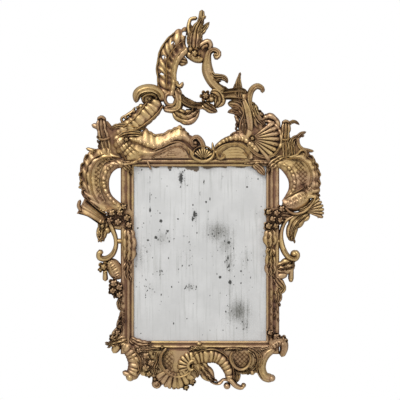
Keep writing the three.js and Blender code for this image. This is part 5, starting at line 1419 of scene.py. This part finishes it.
def marks(across, up, places):
    """How strongly the soft-edged marks show at points given in squares, the strongest one there."""
    shown = np.zeros_like(across)
    for x, z, half_width, half_height, strength in places:
        far = ((across - x) / half_width) ** 2 + ((up - z) / half_height) ** 2
        shown = np.maximum(shown, strength * np.exp(-far * 0.6))
    return shown


def slab(low, high, pitch, rise, bevel):
    """A closed slab between two corners with a fine grid on its front, where rise gives each point's
    height below the front plane, and with its front edges bevelled."""
    xs = np.linspace(low[0] + bevel, high[0] - bevel, int((high[0] - low[0]) / pitch[0]) + 1)
    zs = np.linspace(low[2] + bevel, high[2] - bevel, int((high[2] - low[2]) / pitch[1]) + 1)
    xs = np.concatenate([[low[0]], xs, [high[0]]])
    zs = np.concatenate([[low[2]], zs, [high[2]]])
    X, Z = np.meshgrid(xs, zs)
    edge = (X == low[0]) | (X == high[0]) | (Z == low[2]) | (Z == high[2])
    Y = np.where(edge, low[1] + bevel, low[1] + rise(X, Z))
    front = np.stack([X, Y, Z], -1)
    rows, columns = X.shape
    index = np.arange(rows * columns).reshape(rows, columns)
    loop = np.concatenate([index[0, :-1], index[:-1, -1], index[-1, :0:-1], index[:0:-1, 0]])
    behind = front.reshape(-1, 3)[loop].copy()
    behind[:, 1] = high[1]
    under = rows * columns + np.arange(len(loop))
    quads = np.stack([index[:-1, :-1], index[:-1, 1:], index[1:, 1:], index[1:, :-1]], -1).reshape(-1, 4)
    walls = np.stack([loop, under, np.roll(under, -1), np.roll(loop, -1)], -1)
    faces = quads.tolist() + walls.tolist() + [under[::-1].tolist()]
    return np.vstack([front.reshape(-1, 3), behind]), faces


def ripple(x, z):
    """The slow waves of blown glass: two crossed runs of waves, each bent by a longer one."""
    crossed = np.sin(41 * x + 1.7 * np.sin(17 * z)) * np.sin(33 * z + 1.3 * np.sin(23 * x))
    return PLATE_WAVE * (1 + crossed)


low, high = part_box("mirror_plate")
verts, faces = slab(low, high, (PLATE_PITCH, PLATE_PITCH), ripple, PLATE_BEVEL)
plate = new_piece("plate", verts, faces, sharp=30)
all_spots = np.vstack([SPOTS, specks(SPECKS)])
for name, places in (("spots", all_spots), ("clouds", CLOUDS), ("losses", LOSSES)):
    keep_values(plate, name, marks(verts[:, 0] / SQUARE, verts[:, 2] / SQUARE, places))
silvering, shader, glass = surface("foxed silvering", Coat_Weight=0.5, Coat_Roughness=0.06)
place = glass.node("ShaderNodeTexCoord", out=3)
spots = glass.node("ShaderNodeAttribute", {"attribute_name": "spots"}, out=2)
clouds = glass.node("ShaderNodeAttribute", {"attribute_name": "clouds"}, out=2)
losses = glass.node("ShaderNodeAttribute", {"attribute_name": "losses"}, out=2)
speckle = glass.node("ShaderNodeTexNoise", Vector=place, Scale=210.0, Detail=5.0, Roughness=0.7)
drift = glass.node("ShaderNodeTexNoise", Vector=place, Scale=7.0, Detail=6.0, Roughness=0.6)
streaky = glass.node("ShaderNodeMapping", Vector=place, Scale=(130.0, 1.0, 6.0))
streaks = glass.node("ShaderNodeTexNoise", Vector=streaky, Scale=1.0, Detail=3.0)
fallen = (losses + (speckle - 0.5) * 0.9 + (drift - 0.5) * 0.5).ramp(0.42, 0.62)
dark = (spots + (speckle - 0.5) * 1.2).ramp(0.3, 0.62)
haze = clouds * 1.1 + (drift - 0.5) * 0.6 + (speckle - 0.5) * 1.1 + (streaks - 0.5) * 0.8
haze = haze.ramp(0.08, 1.15)
clean = drift.ramp(0.3, 0.75).mix(colour(216, 216, 214), colour(232, 232, 230))
streaked = (streaks.ramp(0.5, 0.75) * 0.5).mix(clean, colour(188, 189, 184))
clouded = haze.mix(streaked, colour(96, 95, 88))
spotted = (dark * 0.92).mix(clouded, colour(40, 41, 36))
feed(
    glass,
    shader,
    Base_Color=fallen.mix(spotted, colour(92, 78, 62)),
    Metallic=(1 - fallen) * 0.3,
    Roughness=0.22 + haze * 0.4 + fallen * 0.3,
)
plate.data.materials.append(silvering)
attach(plate, "root")
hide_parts("mirror_plate")

# Backboard
# Three thin softwood boards side by side, rough-planed, rubbed and dark with age, that close the
# rebate behind the plate.
BOARDS = 3
BOARD_JOINT = 0.9 * MM
BOARD_HALF_GAP = 1.6 * MM
PLANE_MARKS = 0.25 * MM
BOARD_PITCH = (3.2 * MM, 24 * MM)


def planed(x, z):
    """Depth of the open joints between the boards and of the shallow hollows a plane leaves."""
    width = high[0] - low[0]
    board = (x - low[0]) / width * BOARDS
    from_joint = np.abs(board - np.round(board)) * width / BOARDS
    inner = np.abs(x) < width / 3
    joint = BOARD_JOINT * np.clip(1 - from_joint / BOARD_HALF_GAP, 0, 1) * inner
    return joint + PLANE_MARKS * np.abs(np.sin(95 * x + 0.6 * np.sin(9 * z)))


low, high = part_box("backboard")
turned_low, turned_high = [low[0], -high[1], low[2]], [high[0], -low[1], high[2]]
verts, faces = slab(turned_low, turned_high, BOARD_PITCH, planed, PLANE_MARKS)
verts[:, 1] *= -1
board = new_piece("board", verts, [face[::-1] for face in faces])
softwood, shader, wood = surface("old softwood")
place = wood.node("ShaderNodeTexCoord", out=3)
lengthwise = wood.node("ShaderNodeMapping", Vector=place, Scale=(60.0, 60.0, 3.0))
grain = wood.node(
    "ShaderNodeTexNoise", Vector=lengthwise, Scale=1.0, Detail=5.0, Roughness=0.6, Distortion=0.4)
stain = wood.node("ShaderNodeTexNoise", Vector=place, Scale=5.0, Detail=4.0)
figure = grain.ramp(0.3, 0.7).mix(colour(84, 60, 40), colour(138, 104, 72))
feed(
    wood,
    shader,
    Base_Color=(stain.ramp(0.4, 0.8) * 0.6).mix(figure, colour(70, 52, 38)),
    Roughness=0.7 + grain * 0.25,
    Normal=wood.node("ShaderNodeBump", Strength=0.3, Distance=0.0008, Height=grain),
)
board.data.materials.append(softwood)
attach(board, "root")
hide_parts("backboard")

# Light and camera
# A pale studio with a plain floor, a large soft light from the upper left and a weak one from the
# right, seen straight on from the middle of the mirror's height.
FLOOR_LEVEL = -1.45
FLOOR_HALF_SIDE = 3.2
CAMERA_AWAY = 6
CAMERA_HEIGHT = -0.16
VIEW_WIDTH = 1.6
SENSOR_WIDTH = 36

corners = np.array([[-1, -1], [1, -1], [1, 1], [-1, 1]]) * FLOOR_HALF_SIDE
floor = new_piece("floor", [[x, y, FLOOR_LEVEL] for x, y in corners], [[0, 1, 2, 3]])
pale, _, _ = surface("pale floor", Roughness=0.9, Base_Color=colour(232, 231, 228))
floor.data.materials.append(pale)

world = bpy.data.worlds.new("studio")
bpy.context.scene.world = world
world.use_nodes = True
sky = Shade(world)
seen = sky.node("ShaderNodeLightPath", out=0)
background = world.node_tree.nodes["Background"]
feed(sky, background, Color=seen.mix([0.4, 0.4, 0.41, 1], [1, 1, 1, 1]))
background.inputs["Strength"].default_value = 1.0


def area_light(name, size, power, where, towards):
    """A square area light, facing the given point."""
    light = bpy.data.lights.new(name, "AREA")
    light.size = size
    light.energy = power
    lamp = bpy.data.objects.new(name, light)
    bpy.context.scene.collection.objects.link(lamp)
    lamp.location = where
    lamp.rotation_euler = (Vector(towards) - Vector(where)).to_track_quat("-Z", "Y").to_euler()


area_light("window", size=1.6, power=150, where=(-1.5, -2.6, 2.8), towards=(0, 0, -0.15))
area_light("lamp", size=0.8, power=20, where=(2.4, -2.4, 0.6), towards=(0, 0, -0.2))

camera_data = bpy.data.cameras.new("camera")
camera = bpy.data.objects.new("camera", camera_data)
bpy.context.scene.collection.objects.link(camera)
camera_data.sensor_width = SENSOR_WIDTH
camera_data.lens = SENSOR_WIDTH * CAMERA_AWAY / VIEW_WIDTH
camera.location = (0, -CAMERA_AWAY, CAMERA_HEIGHT)
camera.rotation_euler = (np.pi / 2, 0, 0)
bpy.context.scene.camera = camera
bpy.context.scene.view_settings.view_transform = "Standard"
